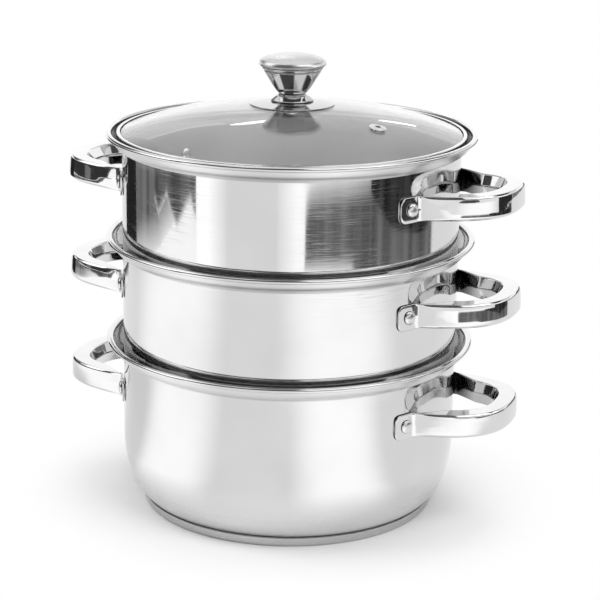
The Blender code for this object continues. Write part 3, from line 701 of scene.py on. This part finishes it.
def turned_steel(name, tone, roughness, spread, grain_mm, depth_mm, wave_mm=0.0, groove_mm=0.0, inside=None):
    """Stainless steel finished on a lathe, so that its grain runs round the Z axis.

    The grain is noise on (x, y, z + r), 25 mm long on the first two and one grain wide on the third.
    It moves the roughness by the spread and the surface by its depth. The wave is the slow
    unevenness of a drawn sheet, which bends what it mirrors. Where inside is given, it is the
    roughness of the upright skin that faces the axis, where normal · (x, y, 0.4) is negative.
    """
    material, add, shader, _ = new_material(name)
    spot = add("TexCoord").outputs["Object"]
    apart = add("SeparateXYZ", {0: spot}).outputs
    flat = add("CombineXYZ", {0: apart[0], 1: apart[1]})
    radius = add("VectorMath", {0: flat}, operation="LENGTH").outputs["Value"]
    along = add("Math", {0: radius, 1: apart[2]}, operation="ADD")
    fine = add("Math", {0: along, 1: 1000 / grain_mm}, operation="MULTIPLY")
    slow = add("SeparateXYZ", {0: add("VectorMath", {0: flat, "Scale": 40.0}, operation="SCALE")}).outputs
    grain_at = add("CombineXYZ", {0: slow[0], 1: slow[1], 2: fine})
    grain = add("TexNoise", {"Vector": grain_at, "Scale": 1.0, "Detail": 3.0, "Roughness": 0.62})
    rough = add("MapRange", {"Value": grain, "From Min": 0.42, "From Max": 0.72,
                             "To Min": roughness - spread / 3, "To Max": roughness + spread})
    if inside is not None:
        raised = add("CombineXYZ", {0: apart[0], 1: apart[1], 2: 0.4})
        facing = add("VectorMath", {0: add("TexCoord").outputs["Normal"], 1: raised}, operation="DOT_PRODUCT")
        inner = add("Math", {0: facing.outputs["Value"], 1: -0.03}, operation="LESS_THAN")
        rough = add("Mix", {"Factor": inner, "A": rough, "B": inside})
    cloud = add("TexNoise", {"Vector": spot, "Scale": 22.0, "Detail": 2.0})
    bumps = [(grain, depth_mm)]
    if wave_mm:
        bumps.append((add("TexNoise", {"Vector": spot, "Scale": 14.0, "Detail": 1.0}), wave_mm))
    polish(add, shader, tone, rough, cloud, 0.94, groove_mm, bumps)
    return material


def cast_steel(name, tone, roughness, spread, scratch_mm, depth_mm, wave_mm):
    """Steel buffed by hand: wiping marks 17 mm long in level lines, and waves some 20 mm apart."""
    material, add, shader, _ = new_material(name)
    spot = add("TexCoord").outputs["Object"]
    marks_at = add("Mapping", {"Vector": spot, "Scale": (60, 60, 1000 / scratch_mm)})
    marks = add("TexNoise", {"Vector": marks_at, "Scale": 1.0, "Detail": 4.0, "Roughness": 0.6})
    wave = add("TexNoise", {"Vector": spot, "Scale": 45.0, "Detail": 1.5})
    rough = add("MapRange", {"Value": marks, "From Min": 0.35, "From Max": 0.75,
                             "To Min": roughness - spread, "To Max": roughness + spread})
    # Painted shade: the colour darkens within 20 mm of other surfaces, as inside a handle's loop and round a
    # rivet's head
    polish(add, shader, tone, rough, wave, 0.95, 20.0, [(marks, depth_mm), (wave, wave_mm)])
    return material


def tempered_glass(name, tone):
    """Tempered soda-lime glass: clear, smooth and faintly wavy, and it lets the lamps' light through."""
    material, add, shader, output = new_material(name)
    wave = add("TexNoise", {"Vector": add("TexCoord").outputs["Object"], "Scale": 12.0, "Detail": 0.0})
    bump = add("Bump", {"Strength": 1.0, "Distance": 0.00006, "Height": wave})
    wire(shader, {"Base Color": tuple(tone), "Roughness": 0.0, "IOR": 1.58, "Transmission Weight": 1.0,
                  "Normal": bump})
    clear = add("BsdfTransparent", {"Color": tuple(tone)})
    shadow = add("LightPath").outputs["Is Shadow Ray"]
    wire(output, {"Surface": add("MixShader", {"Fac": shadow, 1: shader, 2: clear})})
    return material


def silicone(name, tone):
    """Moulded silicone: matt, with a faint grain left by the mould, about 1 mm apart."""
    material, add, shader, _ = new_material(name)
    grain = add("TexNoise", {"Vector": add("TexCoord").outputs["Object"], "Scale": 900.0, "Detail": 2.0})
    rough = add("MapRange", {"Value": grain, "To Min": 0.5, "To Max": 0.7})
    bump = add("Bump", {"Strength": 0.5, "Distance": 0.00005, "Height": grain})
    wire(shader, {"Base Color": tuple(tone), "Roughness": rough, "Normal": bump})
    return material


# How each finish is made: its kind, its colour and its measures. The lines that a wheel leaves are
# under 0.1 mm apart, too fine to show in the render, so every grain is drawn as coarse as it needs to
# show, 0.5 mm or more.
FINISHES = {
    # Deep-drawn 304 sheet buffed on a lathe: a near mirror with a fine grain round the wall, and painted shade
    # darkening its colour within 9 mm of other surfaces
    "buffed_304_sheet": (turned_steel, "wall_steel", {
        "roughness": 0.06, "spread": 0.11, "grain_mm": 0.6, "depth_mm": 0.002, "wave_mm": 0.06,
        "groove_mm": 9.0, "inside": 0.34}),
    # 430 steel cap with a satin finish: soft, with visible rings
    "satin_430_cap": (turned_steel, "base_steel", {
        "roughness": 0.30, "spread": 0.08, "grain_mm": 0.6, "depth_mm": 0.010}),
    # Folded bright 304 band: a sharp mirror, with painted shade darkening its colour in its folds
    "bright_304_band": (turned_steel, "band_steel", {
        "roughness": 0.06, "spread": 0.02, "grain_mm": 0.8, "depth_mm": 0.001, "groove_mm": 5.0}),
    # Spun 304 foot of the knob: a sharp pale mirror
    "mirror_304_foot": (turned_steel, "band_steel", {
        "roughness": 0.06, "spread": 0.02, "grain_mm": 0.8, "depth_mm": 0.001}),
    # Spun 304 knob, mirror polished: dark and light bands round the cone
    "mirror_304_knob": (turned_steel, "knob_steel", {
        "roughness": 0.08, "spread": 0.03, "grain_mm": 0.7, "depth_mm": 0.002}),
    # Buffed 304 plate under the knob: a pale mirror
    "buffed_304_plate": (turned_steel, "knob_steel", {
        "roughness": 0.09, "spread": 0.04, "grain_mm": 0.5, "depth_mm": 0.002}),
    # Spun 304 cap of the knob, finely buffed: pale and slightly soft
    "satin_304_spinning": (turned_steel, "satin_steel", {
        "roughness": 0.31, "spread": 0.04, "grain_mm": 0.5, "depth_mm": 0.003}),
    # Pressed aluminium disc: dull and slightly rough
    "pressed_aluminium": (turned_steel, "aluminium", {
        "roughness": 0.45, "spread": 0.08, "grain_mm": 1.2, "depth_mm": 0.010}),
    # Pressed 304 handles, polished by hand: a mirror with slow waves and a few wiping marks
    "polished_304_pressing": (cast_steel, "handle_steel", {
        "roughness": 0.07, "spread": 0.03, "scratch_mm": 0.8, "depth_mm": 0.002, "wave_mm": 0.30}),
    # Cold-formed 304 rivets: bright, with a slightly hammered head
    "formed_304_rivet": (cast_steel, "rivet_steel", {
        "roughness": 0.28, "spread": 0.08, "scratch_mm": 0.5, "depth_mm": 0.010, "wave_mm": 0.25}),
    # Tempered soda-lime glass: clear, with a veil of white from the sky that it mirrors
    "tempered_soda_lime_glass": (tempered_glass, "glass", {}),
    # Moulded silicone: a dark matt ring
    "moulded_silicone": (silicone, "rubber", {}),
}


def finish(name):
    """The named finish, made once and shared by the pieces that have it."""
    if name in bpy.data.materials:
        return bpy.data.materials[name]
    maker, tone, measures = FINISHES[name]
    return maker(name, getattr(bpy.context.scene.steamer_finish, tone), **measures)


# Operators

class STEAMER_OT_base(Operator):
    """Add the aluminium disc and the steel cap under the pot."""

    bl_idname = "steamer.add_base"
    bl_label = "Add base"

    def execute(self, context):
        """Turn both sections of the clad base."""
        v = context.scene.steamer_vessel
        edge, sheet = v.base_edge, v.sheet
        under = offset(pot_corner(v), -v.gap)
        radius = v.wall - v.base_inset
        seam = float(np.interp(radius, under[:, 0], under[:, 1])) - v.seam_drop
        # A pressed ring in the face that the pot stands on: how far each corner is from the rim, and its depth
        ring = [(radius - inset, deep) for inset, deep in ((0.0110, 0), (0.0106, 0.0005), (0.0092, 0.0005),
                                                           (0.0088, 0))]
        cap = np.vstack([[(0, 0), (radius - 0.012, 0)], soften(ring, SHEET_ROUNDING, 4),
                         arc((radius - edge, edge), edge, edge, -90, 0, 8),
                         [(radius, seam - SHEET_ROUNDING), (radius - SHEET_ROUNDING, seam),
                          (radius - sheet, seam), (radius - sheet, edge), (radius - edge, sheet), (0, sheet)]])
        add_piece("base_satin_cap", [turn(cap)], "satin_430_cap", "pot", "base_steel", "base_cap")
        rim, low = radius - sheet - v.gap, sheet + v.gap
        top = under[under[:, 0] < rim]
        high = float(np.interp(rim, under[:, 0], under[:, 1]))
        core = np.vstack([[(0, low), (rim - edge, low), (rim, low + edge), (rim, high)], top[::-1],
                          [(0, top[0, 1])]])
        add_piece("base_heat_disc", [turn(core)], "pressed_aluminium", "pot", "core_aluminium", "base_core")
        return {"FINISHED"}


class STEAMER_OT_vessels(Operator):
    """Add the pot and the two perforated tiers."""

    bl_idname = "steamer.add_vessels"
    bl_label = "Add pot and tiers"

    def execute(self, context):
        """Turn each vessel's sheet, and join the tiers' perforated floors to it."""
        v = context.scene.steamer_vessel
        for level, name, rim in vessel_rims(v):
            if level == 0:
                outer, inner = vessel_lines(pot_corner(v), rim, v)
                patches = [turn(np.vstack([[(0, v.pot_floor)], outer, inner, [(0, inner[-1, 1])]]))]
            else:
                foot = foot_line(flare_seat(rim - v.pitch, v.wall, v), v)
                patches = [turn(np.vstack(vessel_lines(foot, rim, v)))] + floor_patches(foot[0, 1], v)
            add_piece(name + "_vessel", patches, "buffed_304_sheet", name, "vessel_steel", name + "_shell")
        return {"FINISHED"}


class STEAMER_OT_handles(Operator):
    """Add the loop handles."""

    bl_idname = "steamer.add_handles"
    bl_label = "Add handles"

    def execute(self, context):
        """Loft one handle for each side of each vessel."""
        v, h = context.scene.steamer_vessel, context.scene.steamer_handle
        for level, name, rim in vessel_rims(v):
            rise, tilt, drop = ((h.tier_lift, h.tier_tilt, h.tier_drop) if level
                                else (h.pot_lift, h.pot_tilt, h.pot_drop))
            skin = capped(handle_rings(v, h, rise, tilt, rim - drop))
            for side, facing in SIDES:
                add_piece(f"{name}_loop_{side}", [place(skin, (0, 0, 0), facing, 0.0)], "polished_304_pressing",
                          name, "handle_steel", f"{name}_handle_{side}", sharp=50.0)
        return {"FINISHED"}


class STEAMER_OT_rivets(Operator):
    """Add the rivets that hold the handles."""

    bl_idname = "steamer.add_rivets"
    bl_label = "Add rivets"

    def execute(self, context):
        """Turn one rivet and set it at each of its places."""
        v, h = context.scene.steamer_vessel, context.scene.steamer_handle
        ear_r = v.wall + v.gap + h.ear
        apart = math.asin(h.half_wide / ear_r) + h.rivet_in / ear_r
        body = turn(rivet_line(v, h), 40)
        for level, name, rim in vessel_rims(v):
            height = rim - (h.tier_drop if level else h.pot_drop)
            for side, facing in SIDES:
                for end, bearing in (("front", facing + apart), ("back", facing - apart)):
                    origin = (v.wall * math.cos(bearing), v.wall * math.sin(bearing), height)
                    add_piece(f"{name}_domed_rivet_{side}_{end}", [place(body, origin, bearing, math.pi / 2)],
                              "formed_304_rivet", name, "rivet_steel", f"{name}_rivet_{side}_{end}")
        return {"FINISHED"}


class STEAMER_OT_lid(Operator):
    """Add the glass dome, its folded band and the vent eyelet."""

    bl_idname = "steamer.add_lid"
    bl_label = "Add lid"

    def execute(self, context):
        """Make the dome, the band and the eyelet."""
        v, lid = context.scene.steamer_vessel, context.scene.steamer_lid
        plan = LidPlan(v, lid)
        add_piece("lid_dome", glass_patches(v, lid, plan), "tempered_soda_lime_glass", "lid", "lid_glass",
                  "lid_glass")
        add_piece("lid_folded_band", [turn(band_line(v, lid, plan))], "bright_304_band", "lid", "band_steel",
                  "lid_band")
        origin = (lid.vent_out * math.cos(lid.vent_turn), lid.vent_out * math.sin(lid.vent_turn),
                  float(plan.height(lid.vent_out)))
        vent = place(turn(vent_line(v, lid), 48), origin, lid.vent_turn, math.asin(lid.vent_out / plan.curve))
        add_piece("vent_grommet", [vent], "formed_304_rivet", "lid", "rivet_steel", "vent_eyelet")
        return {"FINISHED"}


class STEAMER_OT_knob(Operator):
    """Add the knob: plate, foot, cone and cap, and what holds it under the glass."""

    bl_idname = "steamer.add_knob"
    bl_label = "Add knob"

    def execute(self, context):
        """Turn each of the knob's pieces."""
        lid = context.scene.steamer_lid
        plan = LidPlan(context.scene.steamer_vessel, lid)
        gasket = washer_line(plan.screw_hole, lid.gasket, plan.gasket_low, plan.gasket_top, 0.0004)
        washer = washer_line(plan.screw_hole, lid.washer, plan.washer_low, plan.washer_top, SHEET_ROUNDING)
        plate, foot, cone, cap = (make(lid, plan) for make in (plate_line, knob_foot_line, knob_body_line,
                                                               knob_cap_line))
        for name, line, material, slot, node in (
                ("knob_seat_plate", plate, "buffed_304_plate", "knob_satin_steel", "knob_plate"),
                ("knob_flared_foot", foot, "mirror_304_foot", "knob_steel", "knob_foot"),
                ("knob_cone", cone, "mirror_304_knob", "knob_steel", "knob_body"),
                ("knob_domed_cap", cap, "satin_304_spinning", "knob_satin_steel", "knob_cap"),
                ("knob_gasket_ring", gasket, "moulded_silicone", "gasket_rubber", "knob_gasket"),
                ("knob_flat_washer", washer, "formed_304_rivet", "rivet_steel", "screw_washer"),
                ("knob_pan_screw", screw_line(lid, plan), "formed_304_rivet", "rivet_steel", "knob_screw")):
            add_piece(name, [turn(line, 96)], material, "lid", slot, node)
        return {"FINISHED"}


class STEAMER_OT_studio(Operator):
    """Add the floor, the lights, the world and the camera."""

    bl_idname = "steamer.add_studio"
    bl_label = "Add studio"

    def execute(self, context):
        """Light the steamer softly on a pale floor, and look at it from the photograph's side."""
        scene = context.scene
        scene.view_settings.view_transform = "Standard"
        for step in (add_world, add_floor, add_cards, add_lamps, add_camera):
            step(scene)
        return {"FINISHED"}


# Studio

def white_rays(add):
    """1 for what the camera, metal or glass sees directly, and 0 for light on the way to a matt surface."""
    ray = add("LightPath").outputs
    seen = add("Math", {0: ray["Is Camera Ray"], 1: ray["Is Transmission Ray"]}, operation="MAXIMUM")
    return add("Math", {0: seen, 1: ray["Is Glossy Ray"]}, operation="MAXIMUM")


def add_world(scene):
    """White for what the camera, metal or glass sees, and a soft even light for the rest."""
    world = bpy.data.worlds.new("white_tent")
    world.use_nodes = True
    add = partial(add_node, world.node_tree)
    strength = add("MapRange", {"Value": white_rays(add), "To Min": 0.62, "To Max": 1.0})
    wire(world.node_tree.nodes["Background"], {"Strength": strength, "Color": (1, 1, 1, 1)})
    scene.world = world


# Bands of light and shade on the floor: each one's bearing from the camera's side in degrees, the
# cosine at which it ends, and its gain in brightness at 0.40 m and at 0.50 m from the middle
FLOOR_BANDS = ((28, 0.87, 0.43, 0.0), (31, 0.75, 0.0, 0.42), (-68, 0.85, 0.42, 0.0), (-78, 0.75, 0.0, 0.38),
               (-112, 0.90, -0.12, 0.0))


def add_floor(scene):
    """A wide pale floor that fades to white, with bands of light and shade that only metal mirrors.

    A band's share is a smooth step of the cosine between a point's bearing and the band's own.
    """
    plan = np.array([0.0, 0.3, 0.8, 1.6, 4.0, 12.0])[:, None, None] * circle(96)
    floor = bpy.data.objects.new("studio_floor", shape_mesh("studio_floor", [lift(plan, 0.0)]))
    scene.collection.objects.link(floor)
    material, add, shader, output = new_material("matt_painted_floor")
    floor.data.materials.append(material)
    wire(shader, {"Base Color": tuple(scene.steamer_finish.floor), "Roughness": 0.9})
    spot = add("TexCoord").outputs["Object"]
    away = add("VectorMath", {0: spot}, operation="LENGTH").outputs["Value"]
    fade = add("MapRange", {"Value": away, "From Min": 0.11, "From Max": 0.21}, interpolation_type="SMOOTHSTEP")
    facing = add("VectorMath", {0: spot}, operation="NORMALIZE")
    glow = 0.93
    for bearing, narrow, inner, outer in FLOOR_BANDS:
        gain = add("MapRange", {"Value": away, "From Min": 0.40, "From Max": 0.50, "To Min": inner,
                                "To Max": outer})
        turn_z = math.radians(CAMERA_TURN + bearing)
        way = (math.cos(turn_z), math.sin(turn_z), 0)
        near = add("VectorMath", {0: facing, 1: way}, operation="DOT_PRODUCT").outputs["Value"]
        light = add("MapRange", {"Value": near, "From Min": narrow, "From Max": 1.0, "To Min": 0.0,
                                 "To Max": gain}, interpolation_type="SMOOTHSTEP")
        glow = add("Math", {0: glow, 1: light})
    glossy_ray = add("LightPath").outputs["Is Glossy Ray"]
    glossy = add("MapRange", {"Value": glossy_ray, "To Min": 1.0, "To Max": glow})
    white = add("Emission", {"Color": (1, 1, 1, 1), "Strength": glossy})
    share = add("Math", {0: fade, 1: white_rays(add)}, operation="MULTIPLY")
    wire(output, {"Surface": add("MixShader", {"Fac": share, 1: shader, 2: white})})


# A card that fades at none of its edges
HARD = (0, 0, 0, 0)
# What the metal mirrors from the edge of the table on: for each card its distance in metres, its
# brightness, its share of upright streaks, how far it fades at its left and right edge in degrees and
# at its bottom and top in metres, and its outline as bearings from the camera's side in degrees with
# the bottom and top there in metres
CARDS = {
    "dark_room_right": (0.80, 0.17, 0.35, (0.5, 3, 0.012, 0.030), (
        (8.5, 0.018, 0.086), (9.5, 0.018, 0.100), (12, 0.018, 0.110), (18, 0.018, 0.114), (38, 0.016, 0.118),
        (46, -0.02, 0.122), (70, -0.02, 0.135), (104, -0.02, 0.145))),
    "black_doorway_right": (0.79, 0.04, 0.6, HARD, (
        (50, 0.100, 0.13), (56, 0.082, 0.14), (66, 0.058, 0.14), (88, 0.045, 0.14), (98, 0.048, 0.14),
        (101, 0.080, 0.14))),
    "black_flag_right": (0.80, 0.03, 0.0, HARD, ((70, 0.130, 0.28), (76, 0.128, 0.32), (104, 0.128, 0.34))),
    "dark_shelf_right": (0.93, 0.08, 0.0, HARD, (
        (4, 0.27, 0.29), (10, 0.26, 0.34), (24, 0.255, 0.35), (32, 0.27, 0.30))),
    "grey_wall_far_right": (0.93, 0.25, 0.3, HARD, ((106, 0.13, 0.36), (150, 0.13, 0.34))),
    "soft_box_right": (0.95, 1.90, 0.0, HARD, ((14, 0.50, 1.90), (98, 0.50, 1.90))),
    "grey_wall_left": (0.81, 0.18, 0.35, (0, 3, 0.045, 0.012), (
        (-120, -0.010, 0.118), (-112, 0.0, 0.118), (-100, 0.008, 0.118), (-92, 0.020, 0.118),
        (-86, 0.035, 0.118), (-79, 0.050, 0.118))),
    "dark_plants_left": (0.80, 0.13, 0.4, (0, 0, 0.010, 0.010), (
        (-97, 0.072, 0.118), (-93, 0.057, 0.118), (-89, 0.068, 0.118), (-85, 0.080, 0.118), (-81, 0.062, 0.120),
        (-76, 0.050, 0.120), (-72, 0.062, 0.119), (-68, 0.076, 0.117), (-65, 0.082, 0.116), (-63, 0.072, 0.118),
        (-61, 0.062, 0.120))),
    "white_card_left": (0.80, 1.45, 0.0, (0, 12, 0, 0), ((-60.5, 0, 0.14), (-40, 0, 0.14))),
    "white_card_right": (0.80, 1.40, 0.0, (12, 0, 0, 0), ((-8, 0, 0.14), (8.4, 0, 0.14))),
    "black_flag_left": (0.80, 0.04, 0.0, HARD, ((-120, 0.125, 0.40), (-92, 0.122, 0.42), (-63, 0.125, 0.36))),
    "grey_window_left": (0.79, 0.22, 0.2, HARD, (
        (-90, 0.15, 0.24), (-88, 0.13, 0.26), (-83, 0.13, 0.25), (-81, 0.16, 0.22))),
    "black_flag_back": (0.80, 0.02, 0.0, HARD, ((-141, 0, 0.33), (-120, 0, 0.36))),
    "soft_box_left": (1.05, 1.90, 0.0, HARD, ((-112, 0.70, 1.90), (-44, 0.70, 1.90))),
    "camera_side": (1.00, 0.16, 0.0, (4, 4, 0, 0), ((-78, 0.42, 2.2), (13, 0.42, 2.2))),
    "dark_side_right": (0.93, 0.10, 0.0, (8, 8, 0.05, 0.2), ((80, 0.72, 1.50), (134, 0.72, 1.50))),
    "dark_side_left": (0.93, 0.10, 0.0, (6, 10, 0.05, 0.1), ((-158, 0.46, 0.95), (-112, 0.46, 0.95))),
    "dark_shelf_front": (0.78, 0.08, 0.0, HARD, (
        (-72, 0.440, 0.62), (-35, 0.430, 0.82), (0, 0.425, 0.88), (40, 0.430, 0.82), (72, 0.440, 0.62))),
    "backdrop": (1.12, 1.20, 0.0, HARD, (
        (112, 0.10, 0.55), (150, 0.10, 0.62), (166, 0.10, 0.70), (172, 0.10, 0.78), (180, 0.10, 0.85),
        (186, 0.10, 0.885), (190, 0.10, 0.865), (195, 0.10, 0.80), (205, 0.10, 0.75), (248, 0.10, 0.60))),
    "dark_room_behind": (1.20, 0.84, 0.0, (0, 0, 0, 1.2), ((112, 0.50, 2.20), (248, 0.50, 2.20))),
    "strip_lamp_behind": (1.11, 5.0, 0.0, HARD, (
        (180.5, 0.865, 0.895), (181.5, 0.86, 0.91), (188, 0.875, 0.915), (189.5, 0.875, 0.89))),
    "strip_lamp_behind_right": (1.11, 5.0, 0.0, HARD, (
        (164.7, 0.590, 0.608), (165.7, 0.596, 0.630), (167.9, 0.643, 0.680), (168.7, 0.666, 0.683))),
    "backdrop_edge": (1.11, 1.5, 0.0, HARD, (
        (190, 0.820, 0.866), (195, 0.76, 0.802), (205, 0.71, 0.752), (230, 0.65, 0.68))),
}


def add_cards(scene, across=97, up=13):
    """Cards and soft boxes that only metal and glass mirror.

    Each is the grid (d cos b, d sin b, bottom(b) + share (top(b) - bottom(b))) of bearing and share,
    with bottom and top straight between the outline's points. How solid it is at a point is the
    product of the distances to its edges over how far it fades there, each held to 0 … 1. The ceiling
    strip is part of a flat ring.
    """
    share = np.linspace(0, 1, up)[:, None]
    for name, (away, tone, streak, fades, outline) in CARDS.items():
        turn_z, low, high = np.array(outline, float).T
        fine = np.linspace(turn_z[0], turn_z[-1], across)
        bottom, top = np.interp(fine, turn_z, low), np.interp(fine, turn_z, high)
        rise = bottom + share * (top - bottom)
        plan = away * ways(np.radians(CAMERA_TURN + fine))
        solid = np.ones_like(rise)
        for inside, fade in zip((fine - turn_z[0], turn_z[-1] - fine, rise - bottom, top - rise), fades):
            if fade:
                solid = solid * np.clip(inside / fade, 0, 1)
        add_card(scene, name, lift(np.broadcast_to(plan, (up, across, 2)), rise), tone, streak, solid)
    ring = ways(np.radians(CAMERA_TURN + np.linspace(-42, 13, up)))
    plan = np.array([0.25, 0.6, 1.0])[:, None, None] * ring
    add_card(scene, "dark_ceiling_strip", lift(plan, 2.2), 0.08, 0.0, np.ones((3, up)))


def add_card(scene, name, grid, tone, streak, solid):
    """One card, seen only in reflections, streaked upright by slow noise; it fades to the room's white."""
    mesh = bpy.data.meshes.new(name)
    faces = grid_faces(np.arange(solid.size).reshape(solid.shape))
    mesh.from_pydata(grid.reshape(-1, 3).tolist(), [], faces.tolist())
    mesh.attributes.new("solid", "FLOAT", "POINT").data.foreach_set("value", solid.astype(np.float32).ravel())
    card = bpy.data.objects.new(name, mesh)
    scene.collection.objects.link(card)
    card.visible_camera = card.visible_diffuse = card.visible_transmission = card.visible_shadow = False
    material, add, _, output = new_material(name)
    material.cycles.emission_sampling = "NONE"
    card.data.materials.append(material)
    flat = add("Mapping", {"Vector": add("TexCoord").outputs["Object"], "Scale": (14, 14, 1.2)})
    noise = add("TexNoise", {"Vector": flat, "Scale": 1.0, "Detail": 3.0})
    level = add("MapRange", {"Value": noise, "From Min": 0.35, "From Max": 0.65,
                             "To Min": tone * (1 - streak), "To Max": tone * (1 + streak)})
    share = add("Attribute", attribute_name="solid").outputs["Fac"]
    level = add("Mix", {"Factor": share, "A": 1.0, "B": level})
    wire(output, {"Surface": add("Emission", {"Color": (1, 1, 1, 1), "Strength": level})})


def aim(item, turn_z, rise, away, height):
    """Set an object at a distance from a height on the axis, and return the turn that looks there."""
    item.location = (away * math.cos(rise) * math.cos(turn_z), away * math.cos(rise) * math.sin(turn_z),
                     height + away * math.sin(rise))
    return Euler((math.pi / 2 - rise, 0, turn_z + math.pi / 2))


def add_lamps(scene):
    """The soft boxes' light: one from the right of the camera, one from the left and one overhead."""
    for name, bearing, up, away, size, power in (("right_box_lamp", 42, 42, 1.5, 0.9, 9.0),
                                                 ("left_box_lamp", -90, 45, 1.5, 0.9, 8.0),
                                                 ("top_lamp", 150, 75, 1.9, 1.2, 8.0)):
        lamp = bpy.data.lights.new(name, "AREA")
        lamp.size = size
        lamp.energy = power
        item = bpy.data.objects.new(name, lamp)
        scene.collection.objects.link(item)
        item.visible_glossy = False
        item.rotation_euler = aim(item, math.radians(CAMERA_TURN + bearing), math.radians(up), away, 0.16)


def add_camera(scene):
    """The photograph's viewpoint: 1.4 m away, 14.7 degrees up, with a slight roll and shift."""
    data = bpy.data.cameras.new("photo_camera")
    data.sensor_width = 36.0
    data.lens = FOCAL_PX * data.sensor_width / IMAGE_PX
    data.shift_x = (IMAGE_PX / 2 - CENTRE_PX[0]) / IMAGE_PX
    data.shift_y = -(IMAGE_PX / 2 - CENTRE_PX[1]) / IMAGE_PX
    data.clip_end = 60
    camera = bpy.data.objects.new("photo_camera", data)
    scene.collection.objects.link(camera)
    camera.rotation_mode = "QUATERNION"
    look = aim(camera, math.radians(CAMERA_TURN), CAMERA_RISE, CAMERA_AWAY, CAMERA_AIM)
    camera.rotation_quaternion = look.to_quaternion() @ Quaternion((0, 0, 1), CAMERA_ROLL)
    scene.camera = camera


# Add-on

class STEAMER_PT_panel(Panel):
    """The steamer's tools in the sidebar."""

    bl_idname = "STEAMER_PT_panel"
    bl_label = "Momo steamer"
    bl_space_type = "VIEW_3D"
    bl_region_type = "UI"
    bl_category = "Steamer"

    def draw(self, context):
        """List the operators, then the sizes and colours."""
        for step in STEPS:
            self.layout.operator(step.bl_idname)
        for group in GROUPS:
            settings = getattr(context.scene, group)
            box = self.layout.box()
            for name in settings.__annotations__:
                box.prop(settings, name)


GROUPS = {"steamer_vessel": SteamerVesselSizes, "steamer_handle": SteamerHandleSizes,
          "steamer_lid": SteamerLidSizes, "steamer_finish": SteamerFinish}
STEPS = (STEAMER_OT_base, STEAMER_OT_vessels, STEAMER_OT_handles, STEAMER_OT_rivets, STEAMER_OT_lid,
         STEAMER_OT_knob, STEAMER_OT_studio)


def register():
    """Register the classes and hang the settings on the scene."""
    for name, group in GROUPS.items():
        bpy.utils.register_class(group)
        setattr(bpy.types.Scene, name, PointerProperty(type=group))
    for item in (*STEPS, STEAMER_PT_panel):
        bpy.utils.register_class(item)


def unregister():
    """Take the settings and the classes away again."""
    for item in (STEAMER_PT_panel, *reversed(STEPS)):
        bpy.utils.unregister_class(item)
    for name, group in GROUPS.items():
        delattr(bpy.types.Scene, name)
        bpy.utils.unregister_class(group)


def main():
    """Build every piece in order."""
    register()
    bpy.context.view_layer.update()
    for step in STEPS:
        group, action = step.bl_idname.split(".")
        getattr(getattr(bpy.ops, group), action)()


if __name__ == "__main__":
    main()
